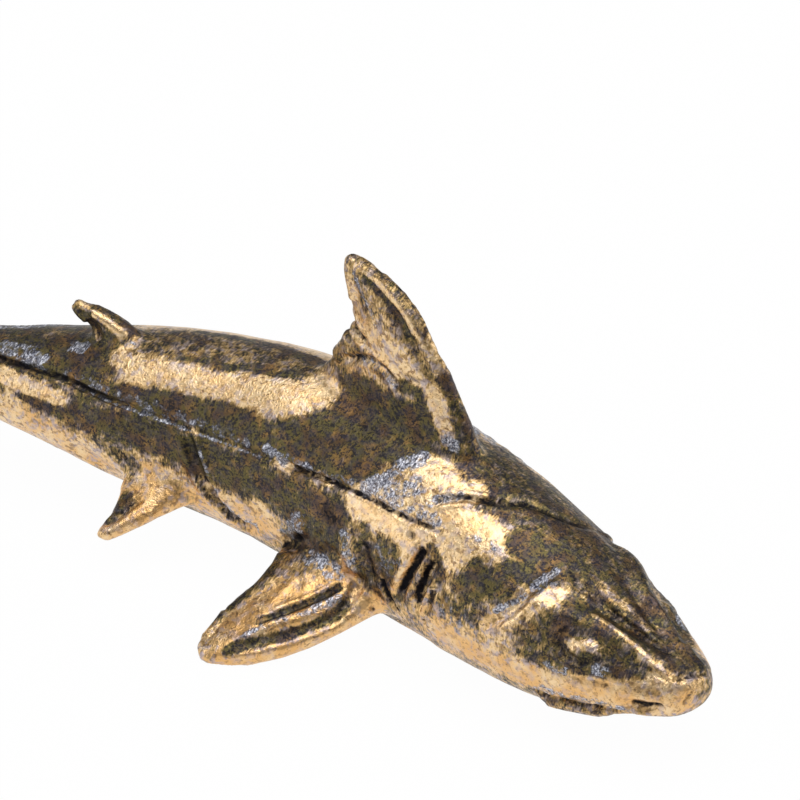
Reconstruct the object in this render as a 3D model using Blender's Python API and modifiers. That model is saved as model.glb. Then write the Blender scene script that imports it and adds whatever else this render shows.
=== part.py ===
"""Cast brass shark figurine, one solid piece, resting on its belly and its pectoral fins.

Metres, +Z up. +X points the way the middle of the body swims, +Y is the shark's left side, and the
origin is a point of the flat that the belly rests on. The body bends towards its right.

The piece is built as a caster builds the wax: the trunk, the fins, the brows and the eyes are separate
closed shapes, they are fused into one skin that is smoothed at the joins, and then the gills, the mouth,
the nostrils and the lateral lines are cut in and the underside is filed flat.
"""

import math

import bmesh
import bpy
import numpy as np
from mathutils import Matrix, Vector

MM = 0.001
RIGHT = -1
LEFT = 1

# Trunk: distance from the snout, half width, and the heights over the table of the belly, of the widest
# line and of the back, in millimetres
TRUNK_STATIONS = (
    (0.0, 0.9, 4.1, 4.8, 5.6),
    (0.6, 1.8, 3.6, 4.7, 6.2),
    (1.8, 2.6, 3.1, 4.7, 6.8),
    (4.0, 3.6, 2.4, 4.6, 7.5),
    (7.5, 4.8, 1.3, 4.5, 8.7),
    (11.0, 5.4, 0.5, 4.7, 10.0),
    (15.0, 5.8, 0.1, 5.1, 11.1),
    (20.0, 6.0, -0.3, 5.5, 12.1),
    (26.0, 6.1, -0.3, 5.9, 12.6),
    (32.0, 5.9, -0.1, 6.2, 12.6),
    (38.0, 5.5, 0.5, 6.4, 12.1),
    (44.0, 4.9, 1.6, 6.4, 11.3),
    (50.0, 3.9, 3.0, 6.4, 10.0),
    (56.0, 2.7, 4.1, 6.5, 8.8),
    (61.0, 1.8, 4.8, 6.6, 8.4),
    (65.0, 1.3, 5.3, 6.8, 8.3),
)
TRUNK_LENGTH = TRUNK_STATIONS[-1][0] * MM
BACK_ROUNDNESS = 2.0
BELLY_ROUNDNESS = 2.3
TRUNK_RINGS = 90
TRUNK_SIDES = 40
RING_CROWDING = 1.3

# Bend of the spine, seen from above: the way the body points, from +X, and where that changes
CHEST_YAW = math.radians(-12.5)
TAIL_YAW = math.radians(12.5)
BEND_START = 0.022
BEND_END = 0.044
REST_STATION = 0.024
SPINE_STEPS = 260

# Fins: the station that each stands on, and rows of the height along its span, of how far forward its
# leading and its trailing edge lie there, and of its thickness, in millimetres
DORSAL_STATION = 0.0275
DORSAL_ROWS = (
    (-2.0, 9.4, -5.6, 3.6),
    (0.0, 8.5, -4.7, 3.1),
    (1.5, 7.5, -3.5, 2.8),
    (3.0, 6.6, -2.3, 2.5),
    (5.0, 5.4, -1.7, 2.2),
    (7.0, 3.8, -1.9, 1.9),
    (8.4, 2.1, -2.2, 1.7),
    (9.1, 0.5, -2.3, 1.4),
    (9.6, -0.9, -2.1, 0.9),
)
SECOND_DORSAL_STATION = 0.0455
SECOND_DORSAL_ROWS = (
    (-1.5, 2.5, -2.3, 2.3),
    (0.0, 1.7, -2.0, 1.8),
    (0.8, 0.8, -2.5, 1.4),
    (1.4, -0.3, -3.1, 1.2),
    (1.8, -1.5, -3.3, 1.0),
    (2.0, -2.3, -3.2, 0.7),
)
PECTORAL_STATION = 0.0256
PECTORAL_ANGLE = 112.0
RIGHT_PECTORAL_SPAN = (0.87, -0.36, -0.32)
LEFT_PECTORAL_SPAN = (0.78, -0.52, -0.34)
PECTORAL_CHORD = (0.0, 0.995, -0.1)
PECTORAL_ROWS = (
    (-1.5, 4.6, -4.0, 3.4),
    (0.5, 4.4, -3.8, 3.0),
    (2.0, 4.4, -3.2, 2.7),
    (4.0, 4.2, -2.4, 2.5),
    (6.0, 3.8, -1.5, 2.3),
    (8.0, 3.1, -0.6, 2.0),
    (9.2, 2.3, -0.2, 1.7),
    (9.9, 1.5, 0.6, 1.0),
)
PELVIC_STATION = 0.0413
PELVIC_ANGLE = 112.0
PELVIC_SPAN = (0.69, -0.60, -0.40)
PELVIC_ROWS = (
    (-1.2, 3.6, -2.6, 2.4),
    (0.4, 3.3, -2.0, 2.1),
    (1.6, 2.9, -1.1, 1.8),
    (2.9, 2.4, -0.3, 1.6),
    (4.1, 1.9, 0.2, 1.3),
    (5.0, 1.5, 0.6, 1.1),
    (5.5, 1.2, 0.9, 0.7),
)
ANAL_STATION = 0.051
ANAL_ROWS = (
    (-1.2, 3.2, -1.4, 1.7),
    (0.0, 2.9, -1.0, 1.4),
    (1.0, 2.2, -0.4, 1.2),
    (1.7, 1.6, 0.2, 1.0),
    (2.0, 1.3, 0.6, 0.7),
)
CAUDAL_STATION = 0.0635
CAUDAL_ROWS = (
    (-5.6, -4.3, -5.0, 0.8),
    (-4.6, -3.0, -4.9, 1.2),
    (-3.0, -1.2, -4.5, 1.6),
    (-1.2, 1.4, -3.6, 2.0),
    (0.6, 2.0, -3.6, 2.2),
    (2.6, 0.2, -4.6, 2.0),
    (5.5, -2.6, -6.6, 1.7),
    (8.5, -5.6, -9.0, 1.4),
    (11.0, -8.4, -10.9, 1.1),
    (12.0, -9.8, -11.2, 0.7),
)
FIN_POINTS = 9
FIN_RINGS = 16
FIN_NOSE_FULLNESS = 1.2
FIN_TAPER = 0.5

# Head: each brow is a ridge, a round bar that follows the skin. Its rows give station, angle on the
# skin, radius and how deep the bar's middle lies, in millimetres and degrees
BROW_ROWS = (
    (12.6, 47.0, 0.60, 0.80),
    (11.0, 46.0, 1.00, 0.75),
    (9.2, 43.0, 1.40, 0.85),
    (7.6, 34.0, 1.00, 0.45),
    (5.8, 29.0, 0.80, 0.25),
    (4.0, 26.0, 0.70, 0.20),
    (2.2, 25.0, 0.60, 0.25),
    (0.9, 24.0, 0.40, 0.40),
)
EYE_STATION = 0.0062
EYE_ANGLE = 52.0
EYE_RADIUS = 0.0009
EYE_DEPTH = 0.00055
SHOULDER_STATION = 0.0238
SHOULDER_ANGLE = 90.0
SHOULDER_RADII = (0.0034, 0.0016, 0.0030)
SHOULDER_DEPTH = 0.0013
LUMP_SEGMENTS = 24
LUMP_RINGS = 16

# Grooves: round bars that are cut out, with rows as the brow's. A depth below 0 lies outside the skin
GILL_ROWS = (
    (
        (19.0, 97.0, 0.14, -0.12),
        (18.7, 88.0, 0.30, 0.18),
        (18.3, 66.0, 0.32, 0.20),
        (18.2, 52.0, 0.14, -0.12),
    ),
    (
        (17.9, 97.0, 0.14, -0.12),
        (17.5, 88.0, 0.30, 0.18),
        (17.1, 68.0, 0.32, 0.20),
        (16.8, 55.0, 0.14, -0.12),
    ),
    (
        (16.8, 95.0, 0.12, -0.10),
        (16.4, 87.0, 0.22, 0.10),
        (16.0, 74.0, 0.22, 0.10),
        (15.8, 64.0, 0.12, -0.10),
    ),
)
MOUTH_ROWS = (
    (8.8, 112.0, 0.12, -0.10),
    (7.4, 114.0, 0.30, 0.05),
    (5.8, 116.0, 0.34, 0.10),
    (4.4, 118.0, 0.34, 0.10),
    (3.4, 124.0, 0.32, 0.10),
    (2.9, 140.0, 0.30, 0.10),
    (2.7, 160.0, 0.30, 0.10),
    (2.7, 180.0, 0.30, 0.10),
)
BROW_GROOVE_ROWS = (
    (9.4, 23.0, 0.12, -0.10),
    (7.2, 17.0, 0.34, -0.02),
    (5.2, 12.0, 0.38, 0.00),
    (3.4, 9.0, 0.34, -0.02),
    (1.8, 8.0, 0.12, -0.10),
)
LATERAL_ROWS = (
    (16.0, 45.0, 0.12, -0.10),
    (20.2, 51.0, 0.26, 0.02),
    (24.2, 54.0, 0.26, 0.02),
    (28.5, 59.0, 0.26, 0.02),
    (32.8, 62.0, 0.26, 0.02),
    (36.5, 61.0, 0.26, 0.02),
    (41.8, 59.0, 0.26, 0.02),
    (45.8, 54.0, 0.26, 0.02),
    (50.2, 48.0, 0.26, 0.02),
    (53.4, 44.0, 0.26, 0.02),
    (57.0, 46.0, 0.24, 0.00),
    (60.5, 50.0, 0.12, -0.10),
)
NOSTRIL_STATION = 0.0014
NOSTRIL_ANGLE = 108.0
NOSTRIL_RADIUS = 0.00045
NOSTRIL_DEPTH = 0.00015
BAR_STEP = 0.0010

# Fusing and smoothing of the wax, how many triangles describe it, and how near two points of a bar's
# cap are one
SKIN_VOXEL = 0.0003
SKIN_SMOOTHING = 4
SKIN_TRIANGLES = 7200
WELD_DISTANCE = 0.00001

# Aged brass
BRASS_COLOUR = (0.42, 0.30, 0.13, 1.0)
BRASS_ROUGHNESS = 0.36


def smooth_value(at, places, values):
    """Value at one place on a smooth curve through the given ones, without overshoot."""
    steps = np.diff(places)
    slopes = np.diff(values) / steps
    tangents = np.zeros(len(places))
    tangents[0] = slopes[0]
    tangents[-1] = slopes[-1]
    for i in range(1, len(places) - 1):
        if slopes[i - 1] * slopes[i] > 0:
            tangents[i] = 2 * slopes[i - 1] * slopes[i] / (slopes[i - 1] + slopes[i])
    i = int(np.clip(np.searchsorted(places, at) - 1, 0, len(steps) - 1))
    t = float(np.clip((at - places[i]) / steps[i], 0, 1))
    return float(
        values[i] * (1 + 2 * t) * (1 - t) ** 2
        + tangents[i] * steps[i] * t * (1 - t) ** 2
        + values[i + 1] * t * t * (3 - 2 * t)
        + tangents[i + 1] * steps[i] * t * t * (t - 1)
    )


def ease(at, start, end):
    """0 before start, 1 after end and a smooth rise between them."""
    t = min(1.0, max(0.0, (at - start) / (end - start)))
    return t * t * (3 - 2 * t)


def yaw(s):
    """The way the body points at s metres from the snout, from +X."""
    return CHEST_YAW + (TAIL_YAW - CHEST_YAW) * ease(s, BEND_START, BEND_END)


def forward(s):
    return Vector((math.cos(yaw(s)), math.sin(yaw(s)), 0))


def left(s):
    return Vector((-math.sin(yaw(s)), math.cos(yaw(s)), 0))


def spine_walk():
    """Distances from the snout and the points of the spine there, with the rest station at the origin."""
    distances = np.linspace(0, TRUNK_LENGTH, SPINE_STEPS + 1)
    points = np.zeros((len(distances), 2))
    for i in range(1, len(distances)):
        middle = (distances[i] + distances[i - 1]) / 2
        step = distances[i] - distances[i - 1]
        points[i] = points[i - 1] - step * np.array(forward(middle))[:2]
    rest = [np.interp(REST_STATION, distances, points[:, k]) for k in range(2)]
    return distances, points - rest


SPINE_DISTANCES, SPINE_POINTS = spine_walk()
STATIONS = np.array(TRUNK_STATIONS) * MM


def spine(s):
    """Point of the spine at s metres from the snout, at table height."""
    x, y = [np.interp(s, SPINE_DISTANCES, SPINE_POINTS[:, k]) for k in range(2)]
    return Vector((x, y, 0))


def skin(s, angle, depth=0.0):
    """Point of the trunk's skin: angle is 0 on the back, 90 on the left side, 180 under the belly and
    -90 on the right side, in degrees. A depth above 0 lies inside the skin."""
    half_width, belly, side, back = [smooth_value(s, STATIONS[:, 0], STATIONS[:, k]) for k in range(1, 5)]
    a = math.radians(angle)
    across, along = math.sin(a), math.cos(a)
    roundness = BACK_ROUNDNESS if along > 0 else BELLY_ROUNDNESS
    reach = back - side if along > 0 else side - belly
    y = half_width * math.copysign(abs(across) ** (2 / roundness), across)
    z = reach * math.copysign(abs(along) ** (2 / roundness), along)
    out = left(s) * y + Vector((0, 0, z))
    return spine(s) + Vector((0, 0, side)) + out * (1 - depth / out.length)


def mesh_object(name, points, faces):
    mesh = bpy.data.meshes.new(name)
    mesh.from_pydata([tuple(p) for p in points], [], faces)
    made = bmesh.new()
    made.from_mesh(mesh)
    bmesh.ops.recalc_face_normals(made, faces=made.faces)
    made.to_mesh(mesh)
    made.free()
    return bpy.data.objects.new(name, mesh)


def loft(name, rings):
    """Closed shape through rings with as many points each, capped at both ends."""
    points = [p for ring in rings for p in ring]
    sides = len(rings[0])
    last = (len(rings) - 1) * sides
    faces = [tuple(range(sides)), tuple(last + k for k in range(sides))]
    for i in range(len(rings) - 1):
        for k in range(sides):
            a, b = i * sides + k, i * sides + (k + 1) % sides
            faces.append((a, b, b + sides, a + sides))
    return mesh_object(name, points, faces)


def trunk():
    """Rings of the trunk, closer together towards the snout."""
    rings = []
    for i in range(TRUNK_RINGS + 1):
        s = TRUNK_LENGTH * (i / TRUNK_RINGS) ** RING_CROWDING
        rings.append([skin(s, 360 * k / TRUNK_SIDES - 180) for k in range(TRUNK_SIDES)])
    return loft("trunk", rings)


def fin(name, root, span, chord, rows):
    """Blade that stands on root along span, with a full nose and a thin trailing edge."""
    normal = span.cross(chord).normalized()
    table = np.array(rows)
    heights = table[:, 0]
    rings = []
    for i in range(FIN_RINGS + 1):
        height = heights[0] + (heights[-1] - heights[0]) * i / FIN_RINGS
        lead, trail, thick = [smooth_value(height, heights, table[:, k]) for k in (1, 2, 3)]
        ring = []
        for k in range(2 * FIN_POINTS):
            turn = math.pi * k / FIN_POINTS
            share = (1 - math.cos(turn)) / 2
            half = thick / 2 * math.sin(turn) * (FIN_NOSE_FULLNESS - FIN_TAPER * share)
            along = lead + (trail - lead) * share
            ring.append(root + (span * height + chord * along + normal * half) * MM)
        rings.append(ring)
    return loft(name, rings)


def body_direction(s, side, parts):
    """Unit direction from its outward, forward and upward parts."""
    out, ahead, up = parts
    return (left(s) * side * out + forward(s) * ahead + Vector((0, 0, up))).normalized()


def lump(name, centre, radii, heading):
    """Ellipsoid: its first radius lies along heading, its third is upright."""
    made = bmesh.new()
    bmesh.ops.create_uvsphere(made, u_segments=LUMP_SEGMENTS, v_segments=LUMP_RINGS, radius=1)
    turn = Matrix.Rotation(math.atan2(heading.y, heading.x), 4, "Z")
    place = Matrix.Translation(centre) @ turn @ Matrix.Diagonal((*radii, 1))
    bmesh.ops.transform(made, matrix=place, verts=made.verts)
    mesh = bpy.data.meshes.new(name)
    made.to_mesh(mesh)
    made.free()
    return bpy.data.objects.new(name, mesh)


def skin_path(rows, side):
    """Points and radii of a round bar that follows the skin."""
    table = np.array(rows)
    corners = [skin(station * MM, angle * side) for station, angle, radius, depth in rows]
    travel = np.zeros(len(rows))
    for i in range(1, len(rows)):
        travel[i] = travel[i - 1] + (corners[i] - corners[i - 1]).length
    steps = max(2, round(travel[-1] / BAR_STEP))
    points, radii = [], []
    for i in range(steps + 1):
        at = travel[-1] * i / steps
        station, angle, radius, depth = [smooth_value(at, travel, table[:, k]) for k in range(4)]
        points.append(skin(station * MM, angle * side, depth * MM))
        radii.append(radius * MM)
    return points, radii


def bar(name, points, radii):
    """Closed round bar through the points, made from a bevelled curve."""
    curve = bpy.data.curves.new(name, "CURVE")
    curve.dimensions = "3D"
    curve.bevel_depth = 1.0
    curve.bevel_resolution = 1
    curve.use_fill_caps = True
    spline = curve.splines.new("POLY")
    spline.points.add(len(points) - 1)
    for place, point, radius in zip(spline.points, points, radii):
        place.co = (*point, 1)
        place.radius = radius
    drawn = bpy.data.objects.new(name, curve)
    bpy.context.scene.collection.objects.link(drawn)
    bpy.context.view_layer.update()
    mesh = bpy.data.meshes.new_from_object(drawn.evaluated_get(bpy.context.evaluated_depsgraph_get()))
    made = bmesh.new()
    made.from_mesh(mesh)
    bmesh.ops.remove_doubles(made, verts=made.verts, dist=WELD_DISTANCE)
    bmesh.ops.recalc_face_normals(made, faces=made.faces)
    made.to_mesh(mesh)
    made.free()
    solid = bpy.data.objects.new(name, mesh)
    solid.matrix_world = drawn.matrix_world
    bpy.data.objects.remove(drawn)
    return solid


def wax_shapes():
    """The closed shapes that overlap to make the figurine's form."""
    up = Vector((0, 0, 1))
    shapes = [
        trunk(),
        fin("dorsal", skin(DORSAL_STATION, 0), up, forward(DORSAL_STATION), DORSAL_ROWS),
        fin(
            "second_dorsal",
            skin(SECOND_DORSAL_STATION, 0),
            up,
            forward(SECOND_DORSAL_STATION),
            SECOND_DORSAL_ROWS,
        ),
        fin("anal", skin(ANAL_STATION, 180), -up, forward(ANAL_STATION), ANAL_ROWS),
    ]
    tail = (skin(CAUDAL_STATION, 0) + skin(CAUDAL_STATION, 180)) / 2
    shapes.append(fin("caudal", tail, up, forward(CAUDAL_STATION), CAUDAL_ROWS))
    for side, pectoral_span in ((RIGHT, RIGHT_PECTORAL_SPAN), (LEFT, LEFT_PECTORAL_SPAN)):
        pectoral = skin(PECTORAL_STATION, PECTORAL_ANGLE * side)
        span = body_direction(PECTORAL_STATION, side, pectoral_span)
        chord = body_direction(PECTORAL_STATION, side, PECTORAL_CHORD)
        shapes.append(fin("pectoral", pectoral, span, chord, PECTORAL_ROWS))
        pelvic = skin(PELVIC_STATION, PELVIC_ANGLE * side)
        span = body_direction(PELVIC_STATION, side, PELVIC_SPAN)
        shapes.append(fin("pelvic", pelvic, span, forward(PELVIC_STATION), PELVIC_ROWS))
        shapes.append(bar("brow", *skin_path(BROW_ROWS, side)))
        eye = skin(EYE_STATION, EYE_ANGLE * side, EYE_DEPTH)
        shapes.append(lump("eye", eye, [EYE_RADIUS] * 3, forward(EYE_STATION)))
        shoulder = skin(SHOULDER_STATION, SHOULDER_ANGLE * side, SHOULDER_DEPTH)
        shapes.append(lump("shoulder", shoulder, SHOULDER_RADII, forward(SHOULDER_STATION)))
    return shapes


def fuse(name, shapes):
    """One object whose mesh holds every shape, and whose modifiers fuse them into one skin."""
    made = bmesh.new()
    for shape in shapes:
        made.from_mesh(shape.data)
        bpy.data.objects.remove(shape)
    mesh = bpy.data.meshes.new(name)
    made.to_mesh(mesh)
    made.free()
    fused = bpy.data.objects.new(name, mesh)
    bpy.context.scene.collection.objects.link(fused)
    remesh = fused.modifiers.new("fuse", "REMESH")
    remesh.mode = "VOXEL"
    remesh.voxel_size = SKIN_VOXEL
    smooth = fused.modifiers.new("smooth", "SMOOTH")
    smooth.factor = 0.5
    smooth.iterations = SKIN_SMOOTHING
    bpy.context.view_layer.update()
    skinned = fused.evaluated_get(bpy.context.evaluated_depsgraph_get())
    skinned.data.calc_loop_triangles()
    triangles = len(skinned.data.loop_triangles)
    thin = fused.modifiers.new("thin", "DECIMATE")
    thin.ratio = min(1.0, SKIN_TRIANGLES / triangles)
    return fused


def block_below_table(name):
    """Block whose top is the table, wide enough to reach past the whole figurine."""
    made = bmesh.new()
    bmesh.ops.create_cube(made, size=2 * TRUNK_LENGTH)
    bmesh.ops.translate(made, vec=(0, 0, -TRUNK_LENGTH), verts=made.verts)
    mesh = bpy.data.meshes.new(name)
    made.to_mesh(mesh)
    made.free()
    return bpy.data.objects.new(name, mesh)


def cutters():
    """The shapes that are cut from the fused skin."""
    cuts = []
    for side in (RIGHT, LEFT):
        for rows in GILL_ROWS:
            cuts.append(bar("gill_cut", *skin_path(rows, side)))
        cuts.append(bar("brow_groove_cut", *skin_path(BROW_GROOVE_ROWS, side)))
        cuts.append(bar("lateral_line_cut", *skin_path(LATERAL_ROWS, side)))
        nostril = skin(NOSTRIL_STATION, NOSTRIL_ANGLE * side, NOSTRIL_DEPTH)
        cuts.append(lump("nostril_cut", nostril, [NOSTRIL_RADIUS] * 3, forward(NOSTRIL_STATION)))
    right_points, right_radii = skin_path(MOUTH_ROWS, RIGHT)
    left_points, left_radii = skin_path(MOUTH_ROWS, LEFT)
    points = right_points[:-1] + left_points[::-1]
    radii = right_radii[:-1] + left_radii[::-1]
    cuts.append(bar("mouth_cut", points, radii))
    cuts.append(block_below_table("file_cut"))
    return cuts


def aged_brass():
    material = bpy.data.materials.new("aged_brass")
    material.use_nodes = True
    shader = material.node_tree.nodes["Principled BSDF"]
    shader.inputs["Base Color"].default_value = BRASS_COLOUR
    shader.inputs["Metallic"].default_value = 1.0
    shader.inputs["Roughness"].default_value = BRASS_ROUGHNESS
    return material


def main():
    for old in list(bpy.data.objects):
        bpy.data.objects.remove(old)
    collection = bpy.data.collections.new("shark_figurine")
    bpy.context.scene.collection.children.link(collection)
    cutting = bpy.data.collections.new("shark_figurine_cutters")
    bpy.context.scene.collection.children.link(cutting)

    shark = fuse("shark", wax_shapes())
    bpy.context.scene.collection.objects.unlink(shark)
    collection.objects.link(shark)
    shark.data.materials.append(aged_brass())

    for number, cutter in enumerate(cutters()):
        cutting.objects.link(cutter)
        cutter.hide_render = True
        cutter.display_type = "WIRE"
        cut = shark.modifiers.new(f"cut_{number:02d}", "BOOLEAN")
        cut.operation = "DIFFERENCE"
        cut.solver = "EXACT"
        cut.object = cutter


main()
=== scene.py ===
"""The look of a small cast brass shark: dark patina, bare metal on the high places, scratches of wear,
and painted reflections, a painted sheen and painted highlights laid into the colour.

Lengths in the tables are millimetres. A place on the body is (distance from the snout along the
spine, distance to the left of the spine, height above the table).
"""

import math

import bpy
import numpy as np
from mathutils import Matrix, Vector

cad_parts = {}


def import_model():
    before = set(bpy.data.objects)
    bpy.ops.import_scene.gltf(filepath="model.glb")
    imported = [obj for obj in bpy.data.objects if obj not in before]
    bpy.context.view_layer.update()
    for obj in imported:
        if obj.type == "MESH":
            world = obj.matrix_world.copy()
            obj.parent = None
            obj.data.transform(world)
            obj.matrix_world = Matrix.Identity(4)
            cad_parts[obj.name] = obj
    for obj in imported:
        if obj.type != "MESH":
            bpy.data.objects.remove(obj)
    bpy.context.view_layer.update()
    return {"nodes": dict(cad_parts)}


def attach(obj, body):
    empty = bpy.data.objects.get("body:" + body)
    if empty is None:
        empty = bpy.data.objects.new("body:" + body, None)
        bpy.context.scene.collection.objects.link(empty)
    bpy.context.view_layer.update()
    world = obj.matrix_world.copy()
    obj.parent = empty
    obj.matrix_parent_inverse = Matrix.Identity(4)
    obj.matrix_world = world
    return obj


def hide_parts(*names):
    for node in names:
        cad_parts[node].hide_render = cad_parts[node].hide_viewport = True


MM = 0.001

# The spine, as in the solid: straight chest and tail, and a bend between them
CHEST_YAW = math.radians(-12.5)
TAIL_YAW = math.radians(12.5)
BEND_START = 22.0
BEND_END = 44.0
REST_STATION = 24.0
SPINE_START = -4.0
SPINE_END = 76.0
SPINE_STEPS = 800
PLACE_ROUNDS = 8

# The skin: size of the cells it is wrapped from, rounds of smoothing, triangles kept
SKIN_CELL = 0.26
SMOOTHING_ROUNDS = 14
SMOOTHING_IN = 0.5
SMOOTHING_OUT = -0.52
SKIN_TRIANGLES = 190000
DEEPEST_RELIEF = 0.55
TABLE_FADE = 0.7
REST_BAND = 0.03
PATH_PIECE = 0.8
PATH_ROUNDS = 1
DRAPE_REACH = 2.0
RANDOM_CORNERS = 32
FAR_AWAY = 1e9
TINY = 1e-9

# Strokes: where they taper, in shares of the length, and their edges, in half widths from the middle
END_SHARE = 0.4
END_STEEPNESS = 6.0
GROOVE_REACH = 2.0
LIP_PLACE = 1.3
LIP_WIDTH = 0.6
HOLLOW_POWER = 1.5
SOFT_EDGE = 1.5
OXIDE_REACH = 1.6
OXIDE_EDGE = 1.55
INK_REACH = 1.2
INK_EDGE = 1.35
INK_FALL = 1.3
SMUDGE_FALL = 1.2
PIT_EDGE = 1.4

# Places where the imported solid's edges are rounded further: half width, places along them
ROUNDED = (
    (1.6, ((11.5, 3.2, 9.2), (9.5, 3.4, 8.8), (7.0, 2.8, 8.2), (4.5, 2.0, 7.6), (2.5, 1.4, 7.0))),
    (1.3, ((10.4, -2.6, 9.2), (8.6, -2.2, 8.9), (6.6, -1.6, 8.4))),
    (0.9, ((5.3, -1.6, 8.0), (3.8, -1.4, 7.6), (2.4, -1.3, 7.0))))
ROUNDING_ROUNDS = 30

# Grooves: half width, depth, height of the raised lip, blackness of the floor, places along them
LATERAL_LINE = (0.28, 0.1, 0.04, 0.45, (
    (60.5, -1.6, 8.0), (57.0, -1.7, 8.4), (53.1, -1.9, 8.8), (48.5, -2.9, 9.2),
    (46.2, -3.4, 9.0), (43.9, -4.0, 8.9), (41.8, -4.2, 8.9), (39.5, -4.6, 8.9),
    (36.1, -5.0, 9.0), (32.6, -5.1, 9.0), (29.1, -5.0, 9.2), (25.6, -4.9, 9.5)))
LATERAL_FRONT = (0.34, 0.18, 0.0, 0.72, (
    (30.6, -5.0, 9.1), (29.1, -5.0, 9.2), (25.6, -4.9, 9.5), (22.5, -4.6, 9.6), (20.7, -4.5, 9.6),
    (18.6, -4.3, 9.7), (17.2, -4.1, 9.8)))
LATERAL_TAIL = (0.34, 0.16, 0.0, 0.74, LATERAL_LINE[-1][:6])
NAPE_HOOK = (0.34, 0.14, 0.05, 0.65, (
    (19.0, -3.3, 10.8), (18.3, -2.6, 11.2), (17.6, -2.1, 11.3), (16.2, -1.2, 11.2)))
NAPE_GROOVE = (0.5, 0.16, 0.0, 0.6, (
    (16.6, -1.4, 11.2), (14.7, 0.4, 11.0), (13.4, 1.2, 10.5), (12.3, 1.8, 10.1), (12.0, 2.8, 9.4)))
FIRST_GILL = (0.48, 0.44, 0.08, 0.85, ((19.2, -5.9, 5.2), (18.7, -5.4, 7.0), (18.1, -4.9, 8.7)))
SECOND_GILL = (0.46, 0.44, 0.08, 0.9, (
    (17.9, -5.9, 5.1), (17.6, -5.6, 6.4), (17.3, -5.2, 7.7), (17.1, -5.0, 8.3)))
THIRD_GILL = (0.28, 0.22, 0.05, 0.65, ((17.0, -5.9, 5.2), (16.6, -5.6, 6.7)))
MOUTH = (0.28, 0.26, 0.05, 0.45, (
    (8.6, -4.6, 3.3), (6.5, -3.8, 3.0), (5.0, -3.3, 3.1), (2.9, -2.9, 3.8)))
LIP_LINE = (0.26, 0.06, 0.0, 0.45, (
    (10.2, -5.1, 5.3), (8.0, -4.8, 5.1), (5.6, -4.1, 5.3), (3.8, -3.4, 5.5)))
NOSTRIL = (0.52, 0.34, 0.04, 0.8, ((2.8, -3.0, 4.6), (1.9, -2.6, 4.5), (1.0, -2.0, 4.6)))
BROW_GROOVE = (0.5, 0.18, 0.0, 0.4, (
    (9.4, -1.3, 9.2), (7.8, -1.0, 8.7), (6.0, -0.7, 8.0)))
BROW_SLOT = (0.28, 0.18, 0.0, 0.55, (
    (6.8, -0.8, 8.2), (5.0, -0.5, 7.5), (3.6, -0.4, 7.2), (2.4, -0.2, 6.9)))
SNOUT_GROOVE = (0.26, 0.12, 0.0, 0.6, ((1.1, -1.1, 6.3), (0.7, 0.1, 6.1), (0.5, 1.0, 5.8)))
SNOUT_CREASE = (0.22, 0.1, 0.0, 0.5, ((0.3, -1.2, 4.9), (0.2, -0.7, 5.6)))
PECTORAL_CREASE = (0.36, 0.26, 0.05, 0.95, ((20.9, -6.0, 5.4), (20.2, -6.0, 4.5), (19.6, -5.8, 3.6)))
SHOULDER_CREASE = (0.4, 0.16, 0.06, 0.6, ((22.4, -6.1, 7.6), (21.8, -6.2, 6.2), (21.4, -6.2, 5.0)))
FLANK_CREASE = (0.6, 0.28, 0.12, 0.52, (
    (38.8, -5.0, 8.5), (38.2, -5.3, 7.7), (37.5, -5.5, 6.7), (37.0, -5.5, 5.4), (36.2, -5.4, 4.4),
    (35.0, -5.3, 3.6), (33.2, -5.4, 3.5)))
ARMPIT = (0.75, 0.4, 0.0, 0.8, ((30.2, -6.0, 3.8), (29.2, -6.4, 4.2), (28.0, -6.2, 5.0)))
DORSAL_ARC = (0.34, 0.16, 0.08, 0.6, (
    (29.2, -0.6, 14.8), (28.1, -0.7, 15.8), (26.7, -1.0, 16.3), (25.5, -1.1, 16.2), (24.7, -1.1, 15.8),
    (24.1, -1.1, 15.0)))
DORSAL_NOTCH = (0.46, 0.24, 0.06, 0.8, ((29.2, -0.4, 17.8), (28.7, -0.6, 17.0), (27.4, -0.7, 17.0)))
DORSAL_FURROW = (0.5, 0.2, 0.0, 0.25, (
    (27.5, -0.6, 21.6), (26.4, -0.6, 21.2), (25.2, -0.6, 20.3), (24.2, -0.6, 19.4), (23.3, -0.6, 18.1),
    (22.4, -0.5, 17.0)))
DORSAL_FOOT = (0.45, 0.12, 0.0, 0.45, ((24.3, -1.1, 15.9), (23.3, -1.0, 16.2), (22.4, -0.8, 16.4)))
PECTORAL_FURROW = (0.55, 0.24, 0.06, 0.4, (
    (22.1, -6.1, 5.7), (22.5, -6.5, 4.1), (22.4, -7.9, 2.9), (23.8, -10.2, 2.2), (25.2, -11.9, 1.7),
    (26.8, -13.2, 1.1)))
PECTORAL_SCORE = (0.36, 0.18, 0.05, 0.45, (
    (26.2, -11.0, 2.3), (25.6, -10.3, 2.6), (24.7, -9.2, 3.1), (23.4, -7.0, 4.0)))
PELVIC_FURROW = (0.36, 0.16, 0.03, 0.5, ((41.4, -6.5, 4.2), (42.5, -7.4, 3.3), (43.3, -8.2, 2.4)))
LEFT_EYE_RING = (0.32, 0.18, 0.05, 0.55, (
    (7.9, 4.2, 6.4), (7.8, 4.5, 5.8), (7.0, 4.4, 5.3), (6.2, 4.2, 5.3), (5.6, 3.9, 5.6)))
EYE_RING = (0.34, 0.18, 0.05, 0.5, (
    (7.6, -3.2, 7.9), (8.0, -3.7, 7.4), (7.9, -4.1, 6.8), (7.2, -4.2, 6.3), (6.1, -4.0, 6.1),
    (5.3, -3.5, 6.5), (4.9, -3.0, 6.9)))
CHEEK_STEP = (0.55, 0.2, 0.08, 0.35, ((12.0, -5.2, 6.6), (11.2, -4.5, 7.7), (10.9, -4.0, 8.2)))
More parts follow.
